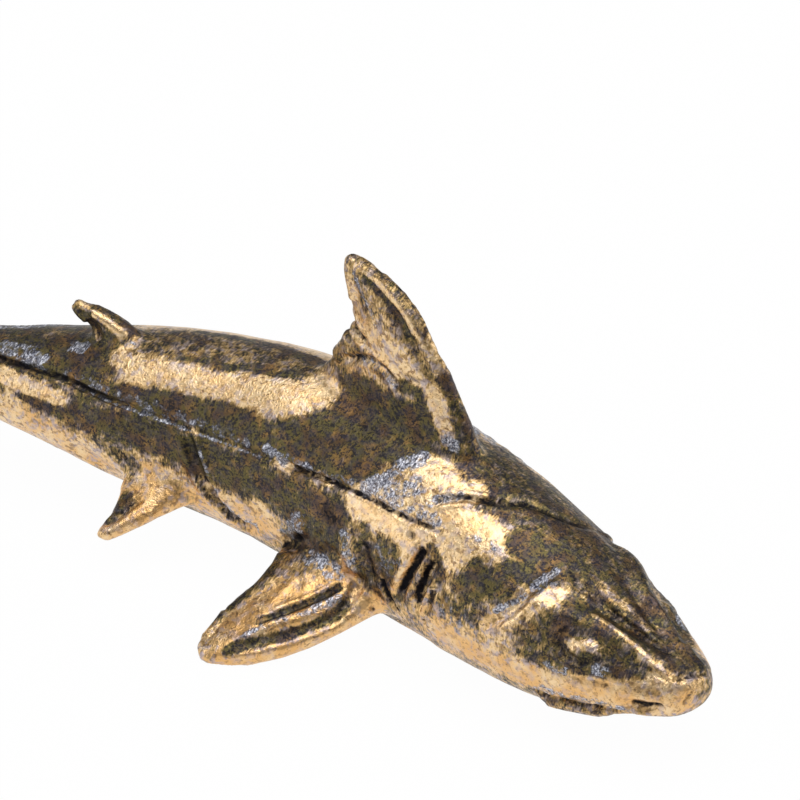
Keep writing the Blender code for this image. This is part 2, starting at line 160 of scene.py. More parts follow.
CHEEK_STEP_TOP = (0.5, 0.16, 0.06, 0.3, (
    (11.0, -4.1, 8.1), (10.7, -3.6, 8.5), (10.4, -2.5, 9.2), (10.4, -1.6, 9.4)))
SECOND_DORSAL_HOLLOW = (0.5, 0.2, 0.0, 0.55, ((47.7, -0.5, 12.0), (47.1, -0.6, 11.4), (46.5, -0.8, 11.0)))
GROOVES_ON_BOTH_SIDES = (
    LATERAL_LINE, LATERAL_FRONT, LATERAL_TAIL, FIRST_GILL, SECOND_GILL, THIRD_GILL, MOUTH, LIP_LINE,
    NOSTRIL, PECTORAL_CREASE, SHOULDER_CREASE, FLANK_CREASE, ARMPIT, DORSAL_ARC, DORSAL_NOTCH,
    DORSAL_FURROW, DORSAL_FOOT, PECTORAL_FURROW, PECTORAL_SCORE, PELVIC_FURROW, CHEEK_STEP,
    SECOND_DORSAL_HOLLOW)
GROOVES_ONCE = (
    NAPE_HOOK, NAPE_GROOVE, BROW_GROOVE, BROW_SLOT, SNOUT_GROOVE, SNOUT_CREASE, CHEEK_STEP_TOP,
    EYE_RING, LEFT_EYE_RING)

# Raised places: half width, height, places along them
BROW_RIDGE = (0.3, 0.07, (
    (6.8, -2.0, 8.4), (5.0, -1.7, 7.9), (3.4, -1.7, 7.3), (2.3, -1.5, 6.8), (1.0, -1.1, 6.1)))
EYE_BALL = (0.6, 0.16, ((6.9, -3.6, 7.0), (5.9, -3.3, 7.2)))
LEFT_EYE_BALL = (0.6, 0.09, ((7.0, 4.2, 5.9), (6.2, 3.9, 6.0)))
SNOUT_PAD = (0.75, 0.12, ((1.6, -1.7, 5.8), (0.5, -0.6, 5.9)))
DORSAL_RIB = (0.36, 0.11, (
    (28.8, -0.3, 22.2), (27.4, -0.3, 21.8), (26.2, -0.3, 21.3), (25.4, -0.3, 20.8), (24.8, -0.2, 20.4),
    (24.2, -0.2, 19.9), (23.7, -0.3, 19.2)))
DORSAL_EDGE = (0.8, 0.28, (
    (26.9, 0.0, 22.3), (26.2, 0.0, 21.9), (25.6, 0.0, 21.5), (24.8, 0.0, 20.9), (24.0, 0.0, 20.1),
    (23.2, 0.0, 19.0), (22.6, 0.0, 18.0)))
DORSAL_HEEL = (0.95, 0.48, ((28.9, -0.2, 16.6), (29.3, -0.1, 15.9), (29.8, 0.0, 15.2), (30.4, 0.0, 14.5)))
LOWER_LIP = (0.4, 0.16, ((8.8, -4.3, 2.6), (6.8, -3.4, 2.4), (5.0, -2.9, 2.6)))
CHEEK_PAD = (0.85, 0.05, ((9.8, -3.4, 8.2), (9.2, -2.7, 8.7)))
SHOULDER_KNOT = (0.7, 0.2, ((24.2, -6.2, 7.0), (23.4, -6.5, 5.9)))
SHOULDER_ROLL = (0.6, 0.16, ((22.9, -6.4, 6.2), (22.5, -6.6, 4.9)))
PECTORAL_RIM = (0.8, 0.1, ((22.2, -7.4, 2.4), (23.5, -10.0, 1.3), (25.4, -12.4, 0.7)))
PECTORAL_STREAK = (0.36, 0.1, ((25.9, -11.3, 2.2), (24.2, -9.5, 2.8), (23.0, -7.3, 3.7)))
PECTORAL_TRAIL = (1.0, 0.12, (
    (28.4, -8.2, 3.2), (28.8, -9.0, 2.9), (29.4, -10.1, 2.3), (30.2, -11.1, 1.5)))
SECOND_DORSAL_TIP = (0.55, 0.06, ((48.7, -0.1, 12.6), (48.2, -0.2, 12.9)))
SECOND_DORSAL_RIB = (0.36, 0.1, (
    (47.4, -0.4, 12.8), (46.8, -0.5, 12.5), (46.0, -0.5, 12.2), (45.1, -0.6, 11.6)))
RIDGES_ON_BOTH_SIDES = (
    BROW_RIDGE, SNOUT_PAD, DORSAL_RIB, LOWER_LIP, CHEEK_PAD, SHOULDER_KNOT,
    SHOULDER_ROLL, PECTORAL_RIM, PECTORAL_STREAK, PECTORAL_TRAIL, SECOND_DORSAL_TIP, SECOND_DORSAL_RIB)
RIDGES_ONCE = (EYE_BALL, LEFT_EYE_BALL, DORSAL_EDGE, DORSAL_HEEL)

# Broad swellings and hollows of the skin: half width, height, places along them
BROAD_ON_BOTH_SIDES = (
    (0.7, 0.28, ((43.5, -8.6, 2.1), (42.4, -8.0, 2.5), (41.2, -7.3, 3.0), (40.3, -6.7, 3.5))),
    (1.3, -0.32, ((47.2, -4.2, 5.0), (46.6, -4.3, 4.8), (45.8, -4.3, 4.4), (44.9, -4.1, 3.8))),
    (0.8, 0.26, ((30.2, -13.4, 0.9), (30.3, -12.1, 1.3), (30.3, -11.1, 1.7))),
    (1.0, -0.3, ((31.6, -5.0, 2.5), (30.3, -7.2, 3.1), (30.3, -8.3, 2.7), (30.4, -9.4, 2.3))),
    (1.2, -0.32, ((20.6, -5.0, 2.0), (20.0, -4.9, 1.7), (19.3, -4.7, 1.5), (18.2, -4.9, 1.8))),
    (0.8, 0.28, ((8.4, -4.4, 2.6), (7.7, -4.3, 2.5), (6.5, -3.8, 2.4), (5.2, -3.4, 2.5),
                 (4.2, -3.0, 2.8))))
BROAD_ONCE = (
    (1.7, -0.5, ((7.0, 3.6, 7.5), (6.0, 3.2, 7.4), (5.1, 2.9, 7.0), (3.7, 2.3, 6.8), (2.3, 1.7, 6.6))),
    (1.0, -0.18, ((12.0, 3.7, 8.9), (11.4, 3.6, 8.8), (10.5, 3.5, 8.7), (9.8, 3.5, 8.7))),
    (0.6, 0.28, ((29.3, -0.1, 22.3), (29.0, -0.1, 21.3), (28.8, -0.1, 20.3), (28.7, -0.1, 19.2))),
    (0.9, 0.28, ((22.7, 0.3, 17.9), (21.8, 0.3, 16.6), (21.0, 0.3, 15.2), (20.3, 0.3, 14.2),
                 (19.7, 0.3, 13.3))),
    (0.5, 0.3, ((48.6, -0.1, 12.7), (48.1, -0.2, 12.3), (47.7, -0.3, 11.8))))

# Casting pits: radius, depth, place
PITS = (
    (0.26, 0.2, (18.3, -5.8, 3.9)), (0.24, 0.18, (17.3, -5.8, 4.2)), (0.22, 0.16, (21.3, -6.2, 3.1)),
    (0.3, 0.14, (24.2, -6.6, 5.4)), (0.44, 0.14, (19.2, -4.9, 9.1)), (0.22, 0.12, (12.2, -4.6, 7.6)),
    (0.26, 0.12, (16.0, -5.9, 5.0)), (0.24, 0.1, (43.4, -5.0, 5.2)))
INKY_PIT = 0.22

# Unevenness: length over which it changes, height or strength, seed
LUMPS = ((4.5, 0.07, 11), (1.9, 0.03, 12), (0.8, 0.014, 13))
RAGGED_GROOVES = ((0.7, 0.25, 14),)
RAGGED_STROKES = ((1.1, 0.35, 21), (0.45, 0.22, 22))
UNEVEN_OXIDE = ((3.2, 0.25, 23),)
PLAIN_OXIDE = 0.55

# Places where the casting is knotty: extra height, half width, places along them
KNOTTY_ON_BOTH_SIDES = (
    (0.22, 1.5, ((27.2, -6.1, 5.6), (25.0, -6.3, 5.8), (23.4, -6.5, 5.2), (22.2, -6.2, 6.4))),
    (0.13, 0.9, ((23.8, -6.0, 8.0), (21.4, -5.8, 7.6), (20.4, -5.8, 6.6))),
    (0.14, 1.2, ((16.2, -5.8, 6.8), (15.2, -5.8, 5.6), (13.6, -5.6, 5.6))),
    (0.07, 1.0, ((24.0, -4.4, 10.0), (20.6, -3.8, 10.6), (18.4, -3.6, 10.6))),
    (0.07, 1.3, ((25.4, -8.4, 3.6), (26.8, -10.6, 2.4))))
KNOT_SIZE = 0.62
KNOT_SEED = 15

# Patina, with painted reflection bands: share of dark oxide, half width, places along the stroke
# Along the back, the flank, the belly edge and the lip, these bands are laid where the overhead lamp, the
# dark room and the white table reflect in the metal. They are laid over real patina: bare for a painted
# highlight or painted reflection, dark for a painted dark reflection.
PATINA_AND_REFLECTION_ON_BOTH_SIDES = (
    # top of the back, above the bare band: patina, and a painted dark reflection
    (0.64, 1.5, ((46.0, -0.4, 11.2), (41.4, -0.3, 11.7), (37.2, -0.3, 12.1), (33.2, 0.0, 12.5),
                 (30.0, -0.3, 13.2))),
    (0.92, 0.45, ((41.0, -1.7, 11.5), (36.5, -1.7, 12.0), (32.6, -1.0, 12.6))),
    # olive band between the bare band and the lateral line: patina, and a painted dark reflection
    (1.0, 1.35, ((53.0, -0.9, 9.2), (48.8, -2.3, 9.6), (44.2, -3.5, 9.8), (39.8, -4.1, 9.9),
                 (34.9, -4.5, 10.1), (29.7, -4.4, 10.4), (26.0, -4.1, 10.8))),
    (0.98, 2.0, ((29.0, -3.0, 11.8), (27.5, -1.8, 12.8), (24.6, -1.8, 13.0), (23.0, -1.6, 13.0))),
    (1.0, 1.6, ((28.5, -3.9, 11.0), (25.0, -3.4, 11.3))),
    # flank below the lateral line: patina, and a painted dark reflection
    (0.9, 1.45, ((51.1, -3.4, 7.8), (46.6, -4.4, 7.5), (42.2, -5.0, 7.3), (37.5, -5.4, 7.5),
                 (33.1, -5.7, 7.4), (28.4, -5.8, 7.6), (25.5, -5.8, 7.8))),
    (0.9, 0.75, ((57.6, -1.9, 7.0), (54.0, -2.7, 7.3), (52.0, -3.1, 7.3), (50.0, -3.6, 7.2))),
    (0.88, 1.1, ((63.4, -1.0, 6.9), (60.0, -1.6, 6.8), (57.0, -2.1, 6.9))),
    (0.86, 1.3, ((62.4, 0.0, 8.6), (58.0, 0.0, 9.0), (54.0, 0.0, 9.6))),
    # bare band along the upper back: painted highlight where the overhead lamp reflects
    (0.1, 0.95, ((44.6, -2.2, 10.7), (43.2, -2.5, 10.7), (39.6, -2.8, 11.1), (35.9, -2.8, 11.5),
                 (32.0, -2.4, 12.0))),
    (0.06, 1.15, ((33.6, -2.8, 11.6), (31.2, -2.4, 12.1), (30.6, -1.4, 12.6))),
    (0.05, 0.28, ((30.9, -5.1, 8.9), (29.8, -5.1, 8.9))),
    # bare belly edge, crossed by the flank's crease: painted reflection of the white table
    (0.2, 1.5, ((61.0, -1.4, 4.8), (56.0, -2.4, 5.6), (52.5, -3.3, 5.8), (48.0, -4.2, 5.2),
                (44.5, -4.7, 4.4), (41.1, -5.6, 4.0), (36.8, -5.3, 3.8), (32.1, -5.7, 4.4))),
    (0.6, 0.32, ((37.6, -5.5, 5.6), (36.9, -5.4, 4.5), (35.6, -5.3, 3.6), (34.2, -5.4, 3.5))),
    (0.7, 0.7, ((44.9, -4.6, 6.4), (43.6, -4.9, 5.8), (42.9, -5.2, 5.2))),
    # tail fin: dark webs, bare leading edges
    (0.92, 1.1, ((62.4, -0.3, 7.4), (64.2, -0.3, 10.0), (66.3, -0.3, 13.4), (69.0, -0.3, 17.1),
                 (71.4, -0.3, 19.9))),
    (0.9, 0.8, ((63.4, -0.3, 6.8), (65.0, -0.3, 5.0), (66.1, -0.3, 3.0))),
    (0.08, 0.6, ((61.3, -0.2, 8.8), (63.0, -0.2, 11.2), (65.0, -0.2, 14.0), (68.4, -0.2, 17.8),
                 (71.9, -0.2, 20.9))),
    (0.12, 0.5, ((61.6, -0.2, 4.6), (64.0, -0.2, 3.0), (66.4, -0.2, 1.4))),
    (0.35, 0.4, ((65.7, -0.2, 8.2), (66.4, -0.2, 10.6), (68.2, -0.2, 13.6), (70.0, -0.2, 16.4))),
    # cheek and gills
    (0.06, 0.9, ((23.6, -5.0, 9.3), (21.1, -4.9, 9.2), (19.3, -4.9, 9.1), (17.6, -4.8, 9.0))),
    (0.04, 1.05, ((17.8, -3.4, 10.6), (16.2, -3.2, 10.4), (14.0, -2.4, 10.2), (12.8, -3.2, 9.7))),
    (0.04, 0.9, ((20.6, -1.9, 11.7), (18.9, -1.6, 11.8), (17.4, -1.0, 11.8))),
    (0.12, 0.9, ((15.8, -4.6, 8.9), (15.2, -5.4, 7.4), (15.6, -5.8, 5.6))),
    (0.8, 0.9, ((19.7, -5.9, 5.2), (20.0, -5.7, 6.6), (20.7, -5.7, 7.4))),
    (0.75, 0.4, ((17.8, -4.9, 8.9), (16.9, -5.0, 8.5), (16.4, -5.3, 7.8))),
    (0.5, 0.8, ((18.0, -5.2, 8.0), (17.6, -5.5, 6.8), (17.2, -5.8, 5.8))),
    (0.05, 0.26, ((18.5, -5.8, 5.6), (18.2, -5.5, 6.9), (17.8, -5.2, 7.9))),
    (0.1, 0.26, ((19.7, -6.0, 5.2), (19.3, -5.6, 6.8), (18.9, -5.0, 8.2))),
    (0.1, 0.22, ((17.4, -5.9, 5.2), (17.1, -5.6, 6.6))),
    (0.93, 1.25, ((14.4, -5.1, 7.7), (13.2, -4.4, 8.6), (12.0, -3.2, 9.3), (11.4, -1.6, 9.9))),
    (0.93, 0.9, ((13.4, -2.0, 10.0), (12.4, -1.2, 10.2))),
    (0.75, 0.8, ((15.7, -5.7, 6.6), (14.3, -5.7, 5.8), (13.0, -5.6, 6.4))),
    (0.45, 1.0, ((15.1, -5.8, 5.0), (13.5, -5.7, 4.7), (11.6, -5.4, 5.2))),
    # eye hollow, brow and snout
    (0.76, 1.5, ((9.0, -4.4, 6.8), (7.6, -3.6, 7.6), (5.8, -2.8, 7.5), (4.2, -2.3, 6.9),
                 (2.6, -2.1, 6.2))),
    (0.76, 1.0, ((8.8, -4.8, 5.8), (7.0, -4.4, 5.8), (4.6, -3.4, 6.0), (2.6, -2.6, 5.7))),
    (0.3, 0.6, ((12.4, -5.3, 6.2), (11.2, -4.8, 7.2), (10.2, -4.1, 8.0), (9.4, -3.0, 8.6))),
    (0.22, 0.4, ((9.8, -3.3, 8.3), (9.2, -2.5, 8.8))),
    (0.22, 0.34, EYE_BALL[-1]),
    (0.9, 0.55, ((8.4, -2.4, 8.7), (7.2, -2.0, 8.6), (5.4, -1.3, 8.0), (3.4, -0.9, 7.2))),
    (0.42, 0.17, BROW_RIDGE[-1][:3]),
    (0.3, 0.28, ((3.4, -1.7, 7.3), (2.3, -1.5, 6.8), (1.4, -1.3, 6.4))),
    (0.1, 0.65, ((1.9, -1.8, 5.9), (0.9, -1.0, 5.9), (0.3, -0.4, 5.8))),
    # lip and jaw: the bare lip band is partly a painted reflection of the white table
    (0.05, 0.85, ((15.9, -5.8, 4.0), (12.8, -5.5, 3.9), (9.1, -5.0, 4.1), (5.8, -4.2, 4.5),
                  (2.4, -2.7, 5.1), (0.0, 0.0, 5.0))),
    # dorsal fin
    (0.2, 1.2, ((29.2, -0.2, 19.6), (28.4, -0.5, 18.2), (26.9, -0.8, 17.4), (25.1, -1.0, 16.8),
                (23.4, -0.9, 16.4))),
    (0.45, 0.55, ((28.8, -0.8, 15.0), (27.2, -1.0, 15.6), (25.6, -1.2, 15.2))),
    (0.42, 0.6, ((24.4, 0.0, 20.2), (23.3, 0.0, 19.0), (22.3, 0.0, 17.7), (21.5, 0.0, 16.2))),
    (0.88, 0.32, DORSAL_FURROW[-1][:5]),
    (0.58, 0.45, ((23.5, -0.5, 18.4), (22.6, -0.5, 17.2), (22.0, -0.6, 16.4))),
    (0.03, 0.17, DORSAL_RIB[-1]),
    (0.62, 0.28, ((28.4, 0.0, 22.9), (27.0, 0.0, 22.3), (25.8, 0.0, 21.6), (24.9, 0.0, 21.0),
                  (24.1, 0.0, 20.2), (23.3, 0.0, 19.2))),
    (0.9, 0.45, ((23.9, -1.1, 15.7), (22.9, -0.9, 15.8), (22.3, -0.8, 15.2))),
    (0.8, 0.6, ((21.6, 0.3, 16.2), (20.4, 0.3, 14.4), (19.2, 0.3, 13.2))),
    (0.04, 0.5, ((21.9, -0.6, 15.8), (21.2, -0.7, 14.6), (20.6, -0.8, 13.4))),
    # pectoral fin
    (0.1, 1.9, ((23.4, -8.0, 3.6), (26.0, -9.5, 3.0), (27.4, -11.6, 2.0))),
    (0.06, 1.0, ((21.4, -6.2, 3.2), (22.4, -8.2, 1.8), (23.9, -10.7, 0.9), (26.7, -13.6, 0.4))),
    (0.85, 0.8, ((29.2, -7.2, 3.9), (29.6, -9.0, 2.9), (30.4, -11.6, 1.4))),
    (0.84, 0.3, ((26.4, -11.2, 2.2), (25.6, -10.3, 2.6), (24.7, -9.2, 3.1), (23.3, -6.9, 4.0))),
    (0.84, 0.4, PECTORAL_FURROW[-1][:5] + ((27.1, -13.4, 1.1),)),
    (0.88, 1.0, ((25.0, -6.2, 6.4), (27.0, -6.1, 5.8), (28.8, -6.1, 4.8))),
    (0.75, 0.7, ((22.6, -6.0, 7.8), (22.2, -6.2, 6.4), (21.8, -6.3, 5.0))),
    (0.08, 0.5, ((23.6, -6.5, 5.6), (23.0, -6.6, 4.6), (22.2, -6.6, 3.8))),
    # pelvic fin
    (0.1, 1.0, ((40.6, -6.4, 3.6), (41.8, -7.6, 2.8), (43.2, -8.6, 2.1))),
    (0.8, 0.55, ((42.6, -6.6, 3.8), (43.4, -7.6, 3.0))),
)
PATINA_ONCE = (
    # forehead and crown
    (0.76, 2.2, ((19.4, 1.0, 12.8), (17.4, 2.0, 11.6), (15.5, 2.6, 10.5), (12.2, 2.6, 9.6),
                 (8.6, 2.4, 8.7), (4.9, 1.6, 7.8))),
    (0.92, 0.9, ((3.4, 1.4, 7.2), (1.9, 1.3, 6.6), (1.0, 1.2, 6.0))),
    (0.62, 0.9, ((1.2, 1.5, 6.0), (0.4, 1.1, 5.4), (0.1, 0.4, 5.0))),
    (0.78, 1.5, ((15.6, -0.2, 11.2), (12.6, 0.1, 10.4), (9.7, 0.3, 9.5), (7.3, 0.6, 8.6),
                 (4.5, 0.4, 7.7), (2.2, 0.6, 6.8))),
    (0.92, 1.3, ((10.6, -1.2, 9.7), (12.0, -2.0, 9.9))),
    # second dorsal fin and the tail stalk
    (0.9, 1.3, ((49.5, -0.9, 9.8), (47.4, -1.0, 10.3), (45.6, -1.6, 10.4))),
    (0.93, 0.6, ((47.8, -0.4, 12.1), (47.1, -0.5, 11.4), (46.5, -0.8, 11.0), (45.9, -0.9, 10.9))),
    (0.06, 0.26, ((47.0, -0.4, 12.6), (46.0, -0.5, 12.1), (45.2, -0.6, 11.6))),
    (0.55, 0.5, ((44.6, -0.9, 11.0), (44.4, -1.4, 10.8))),
    (0.25, 0.14, ((47.0, -0.6, 11.3), (46.8, -0.7, 11.0))),
    (0.92, 0.24, ((48.3, 0.0, 13.1), (47.4, 0.0, 13.2), (46.4, 0.0, 12.8), (45.4, 0.0, 12.1),
                  (44.6, 0.0, 11.6))),
    (0.42, 0.36, ((48.5, -0.1, 12.6), (47.9, 0.0, 12.9))),
    (0.3, 0.6, ((44.9, -1.9, 10.7), (44.2, -2.3, 10.6))),
    (0.45, 0.28, ((8.2, -0.2, 8.9), (6.9, 0.0, 8.5), (5.7, 0.3, 8.0), (4.5, 0.2, 7.6))),
    (0.14, 0.5, ((56.0, -2.0, 7.7), (52.3, -2.7, 8.2), (51.2, -3.0, 8.1), (49.7, -3.5, 8.0),
                 (48.2, -3.8, 8.1))),
)

# Blue-grey scale, scratched places and painted highlights: strength, half width, places along the stroke
PALE_ON_BOTH_SIDES = (
    (1.0, 0.55, ((23.6, -4.7, 10.0), (22.7, -3.8, 10.9), (22.0, -2.8, 11.5), (21.3, -1.8, 11.9))),
    (0.85, 0.6, ((22.6, -4.4, 10.2), (21.6, -4.0, 10.5), (20.7, -3.3, 11.1))),
    (0.75, 0.45, ((21.6, -4.4, 9.9), (20.6, -4.2, 10.1), (19.3, -4.2, 10.1), (18.2, -4.0, 10.2))),
    (0.7, 0.35, ((30.4, -4.9, 9.6), (27.4, -4.8, 9.6), (24.6, -4.6, 9.9))),
    (0.9, 0.36, ((32.2, -5.0, 9.6), (31.2, -5.0, 9.4), (30.6, -5.0, 9.2))),
    (0.35, 0.9, ((20.6, -5.8, 6.4), (18.6, -5.6, 6.8), (16.4, -5.6, 6.4))),
    # edge of the cheek step: painted highlight
    (0.85, 0.22, ((12.2, -4.9, 7.3), (11.7, -4.6, 7.7), (11.1, -4.1, 8.2), (10.8, -3.8, 8.6))),
    # below the eye, these two strokes: painted highlight
    (0.7, 0.32, ((8.3, -4.7, 5.6), (6.8, -4.4, 5.5))),
    (0.8, 0.36, ((5.2, -3.5, 6.1), (4.4, -3.2, 6.0))),
    (0.75, 0.24, ((28.5, -0.6, 21.3), (27.9, -0.7, 20.6), (27.2, -0.8, 19.7), (26.6, -0.9, 18.9))),
    (0.6, 0.22, ((29.0, -0.6, 15.3), (28.1, -0.7, 15.6), (26.7, -1.0, 16.1), (25.5, -1.1, 15.9),
                 (24.7, -1.1, 15.4))),
    (0.5, 0.6, ((21.0, -5.8, 7.4), (20.0, -5.8, 6.4))),
    (0.45, 0.9, ((15.8, -5.8, 6.4), (14.6, -5.8, 5.4), (13.4, -5.6, 5.0))),
    (0.8, 0.6, ((26.4, -6.5, 4.4), (25.3, -6.6, 4.4), (24.2, -6.6, 4.5))),
    (0.7, 0.32, ((26.6, -12.2, 1.8),) + PECTORAL_STREAK[-1]),
    (0.7, 0.5, ((23.9, -6.2, 7.1), (23.2, -6.3, 6.4), (22.8, -6.5, 5.4))),
    (0.75, 0.8, ((29.6, -5.9, 4.9), (28.7, -6.0, 5.6), (28.2, -6.0, 6.4))),
    (0.9, 0.4, ((20.5, -0.6, 13.2), (20.1, -0.6, 12.9))),
    (0.8, 0.6, ((54.0, -1.2, 9.2), (52.0, -1.5, 9.3), (50.0, -2.1, 9.4))),
    (0.75, 0.14, ((46.2, -3.4, 8.8), (43.9, -4.0, 8.7), (41.8, -4.2, 8.7), (39.5, -4.6, 8.7),
                  (36.1, -5.0, 8.8), (32.6, -5.1, 8.8))),
    (0.45, 0.45, ((48.5, -2.8, 9.5), (43.9, -3.8, 9.3), (39.5, -4.4, 9.3), (34.0, -4.9, 9.4))),
    (0.8, 0.3, ((37.5, -5.3, 7.8), (36.8, -5.5, 6.7), (36.3, -5.5, 5.4), (35.5, -5.4, 4.6),
                (34.4, -5.4, 4.1), (32.6, -5.5, 3.9))),
    (0.7, 0.45, ((8.6, -4.8, 3.5), (6.4, -4.4, 3.7), (5.1, -3.9, 3.9), (3.4, -3.2, 4.0))),
)
PALE_ONCE = (
    # top of the cheek step: painted highlight
    (0.9, 0.24, ((10.8, -3.8, 8.7), (10.9, -3.1, 9.0), (10.5, -2.2, 9.3), (10.3, -1.7, 9.5))),
    (0.5, 0.5, ((11.2, -4.2, 8.0), (10.6, -3.3, 8.8), (10.3, -2.4, 9.2))),
    (0.8, 0.36, ((19.2, -3.4, 10.7), (18.5, -2.9, 11.1), (17.8, -2.3, 11.3))),
    (0.5, 0.3, ((16.0, -3.6, 10.2), (14.8, -3.2, 10.2), (13.8, -3.0, 10.0))),
    # round spot near the second dorsal fin: painted highlight of a small bump
    (1.0, 0.55, ((47.9, -1.1, 10.3), (48.1, -1.1, 10.3))),
    (0.7, 0.34, ((44.5, -0.8, 11.2), (44.2, -0.9, 11.0))),
)

# Dark smudges of oxide: strength, half width, places along them
SMUDGES_ON_BOTH_SIDES = (
    (0.5, 0.5, ((23.6, -1.0, 16.2), (22.9, -0.9, 16.4))),
    (0.55, 0.7, ((26.0, -5.8, 8.0), (25.2, -5.8, 7.7))),
    (0.4, 0.6, ((28.8, -7.6, 3.9), (29.4, -9.0, 2.9), (30.0, -10.6, 1.9), (30.4, -12.4, 1.0))),
    (0.45, 0.6, ((30.0, -6.0, 4.4), (28.6, -6.4, 4.5))),
    (0.35, 0.8, ((16.6, -5.8, 6.4), (15.4, -5.8, 5.6))),
    (0.42, 0.46, ((38.9, -5.1, 8.0), (38.0, -5.4, 6.9), (37.6, -5.5, 5.5), (36.8, -5.4, 4.3),
                  (35.6, -5.3, 3.5))),
    (0.45, 0.5, ((44.4, -4.8, 6.1), (43.4, -5.0, 5.6))),
)
SMUDGES_ONCE = (
    (0.45, 0.3, ((9.9, -1.3, 9.4), (8.2, -1.1, 8.8), (6.8, -0.8, 8.3))),
    (0.35, 0.6, ((26.8, -2.4, 12.4), (25.2, -2.6, 12.2), (24.0, -3.2, 11.6))),
)

# Finish of the bare metal, the patina on it and the scale
PALE_GOLD = (0.87, 0.645, 0.38)
BARE_GOLD = (0.82, 0.555, 0.275)
DEEP_GOLD = (0.78, 0.455, 0.175)
TARNISHED_GOLD = (0.52, 0.34, 0.145)
PIT_BROWN = (0.24, 0.140, 0.075)
OLIVE_OXIDE = (0.132, 0.109, 0.045)
BROWN_OXIDE = (0.124, 0.077, 0.044)
INK_OXIDE = (0.028, 0.027, 0.032)
VIOLET_OXIDE = (0.060, 0.056, 0.080)
AMBER_OXIDE = (0.34, 0.19, 0.068)
# The lilac stands in for the grey sheen that the thin dark film shows on bare metal: a painted sheen.
LILAC_FILM_AND_SHEEN = (0.44, 0.39, 0.45)
SCALE_INK = (0.060, 0.060, 0.078)
BLUE_SCALE = (0.27, 0.28, 0.335)
SCRATCH_SILVER = (0.78, 0.79, 0.86)
GROOVE_BLACK = (0.012, 0.011, 0.014)

# Noises of the finish: size, detail, distortion, shift in metres, stretch
EVEN = (1.0, 1.0, 1.0)
NOISES = {
    "grain": (0.14, 2.0, 0.6, 0.0, EVEN),
    "speckle": (0.40, 3.0, 0.8, 0.013, EVEN),
    "blotch": (1.6, 2.0, 0.0, 0.027, EVEN),
    "brush": (0.11, 2.0, 0.0, 0.041, (1.0, 0.30, 0.30)),
    "flake": (0.50, 5.0, 0.5, 0.055, EVEN),
    "scratch": (0.12, 2.0, 0.5, 0.069, (1.0, 0.30, 1.0)),
    "warm": (0.95, 3.0, 0.5, 0.083, EVEN),
    "dots": (0.30, 1.0, 0.0, 0.097, EVEN)}

# How strongly a noise or a layer works on a finish
BLOTCHY_PATINA = 0.6
SPECKLED_PATINA = 0.8
BRUSHED_PATINA = 0.80
# LOW_AMBER: how much deeper orange the gold is painted towards the bottom, a painted warm reflection
LOW_AMBER = 0.28
GRAINY_PITS = -1.0
SPECKLED_PITS = 0.6
SPECKLED_DOTS = 0.6
SPECKLED_SPOTS = 0.8
OXIDE_IN_FILM = 0.04
FLAKY_SCALE = 1.5
SPECKLED_SCALE = 1.2
SCALE_COVER = 0.90
SPECKLED_BLACK = 0.9
GRAINY_ROUGHNESS = 0.30
FILM_ROUGHNESS = 0.12
BLACK_ROUGHNESS = 0.25
FILM_IN_BUMP = 0.3

# Ramps: where each starts and ends, then its value at the start and at the end where not 0 and 1
PATINA_RAMP = (0.18, 0.88)
GOLD_RAMP = (0.35, 0.65)
# AMBER_HEIGHTS: heights in millimetres where the painted warm reflection towards the bottom is full and
# where it ends
AMBER_HEIGHTS = (2.5, 9.0)
DEEP_GOLD_RAMP = (0.50, 0.85)
PITS_RAMP = (0.08, 0.24, 0.0, 0.70)
DOTS_RAMP = (0.53, 0.68)
SOILED_AND_REFLECTION_RAMP = (0.0, 0.30, 0.34, 0.90)
BROWN_RAMP = (0.46, 0.66)
WARM_RAMP = (0.50, 0.70, 0.0, 0.65)
SPOTS_RAMP = (0.44, 0.64, 0.0, 0.90)
TARNISH_RAMP = (0.0, 0.50)
OXIDE_RAMP = (0.25, 0.95)
FILM_RAMP = (0.47, 0.66, 0.0, 0.80)
FILM_FADE = (0.2, 1.0, 1.0, 0.60)
PALE_RAMP = (0.42, 0.95)
BLUE_RAMP = (0.36, 0.50)
SILVER_RAMP = (0.52, 0.66)
BLACK_RAMP = (0.25, 0.85)
ROUGHNESS_RAMP = (0.0, 1.0, 0.32, 0.44)

# Bumps: distance, strength
BRUSH_BUMP = (0.020, 0.6)
GRAIN_BUMP = (0.035, 0.8)
SPECKLE_BUMP = (0.060, 0.7)
SCRATCH_BUMP = (0.050, 0.7)

# Studio, in metres and watts: a wide soft lamp overhead, a weak one on each side, faint light all
# round, a white table
LAMP_HEIGHT = 0.80
LAMP_WIDTH = 1.00
LAMP_POWER = 5.5
ROOM_LIGHT = 0.36
FILL_WIDTH = 0.80
FILL_POWER = 2.2
FILL_PLACES = ((-0.78, -0.66, 0.30), (0.70, 0.74, 0.30))
TABLE_RADIUS = 1.6
TABLE_SIDES = 96
TABLE_WHITE = 0.82
TABLE_ROUGHNESS = 0.9
TABLE_GLOW = 0.98

# Camera: direction, distance in metres and scale of the photograph, where the origin lies in it in
# pixels, sensor width in millimetres, nearest and farthest things seen in metres
CAMERA_TURN = math.radians(33.5)
CAMERA_RISE = math.radians(35.25)
CAMERA_DISTANCE = 0.350
PIXELS_PER_MM = 16.27
ORIGIN_X = 415.0
ORIGIN_Y = 587.0
PICTURE_SIZE = 800.0
SENSOR_WIDTH = 36.0
NEAREST = 0.01
FARTHEST = 10.0


def smooth_share(value):
    """0 below nought, 1 above one, and an S between them."""
    t = np.clip(value, 0.0, 1.0)
    return t * t * (3.0 - 2.0 * t)


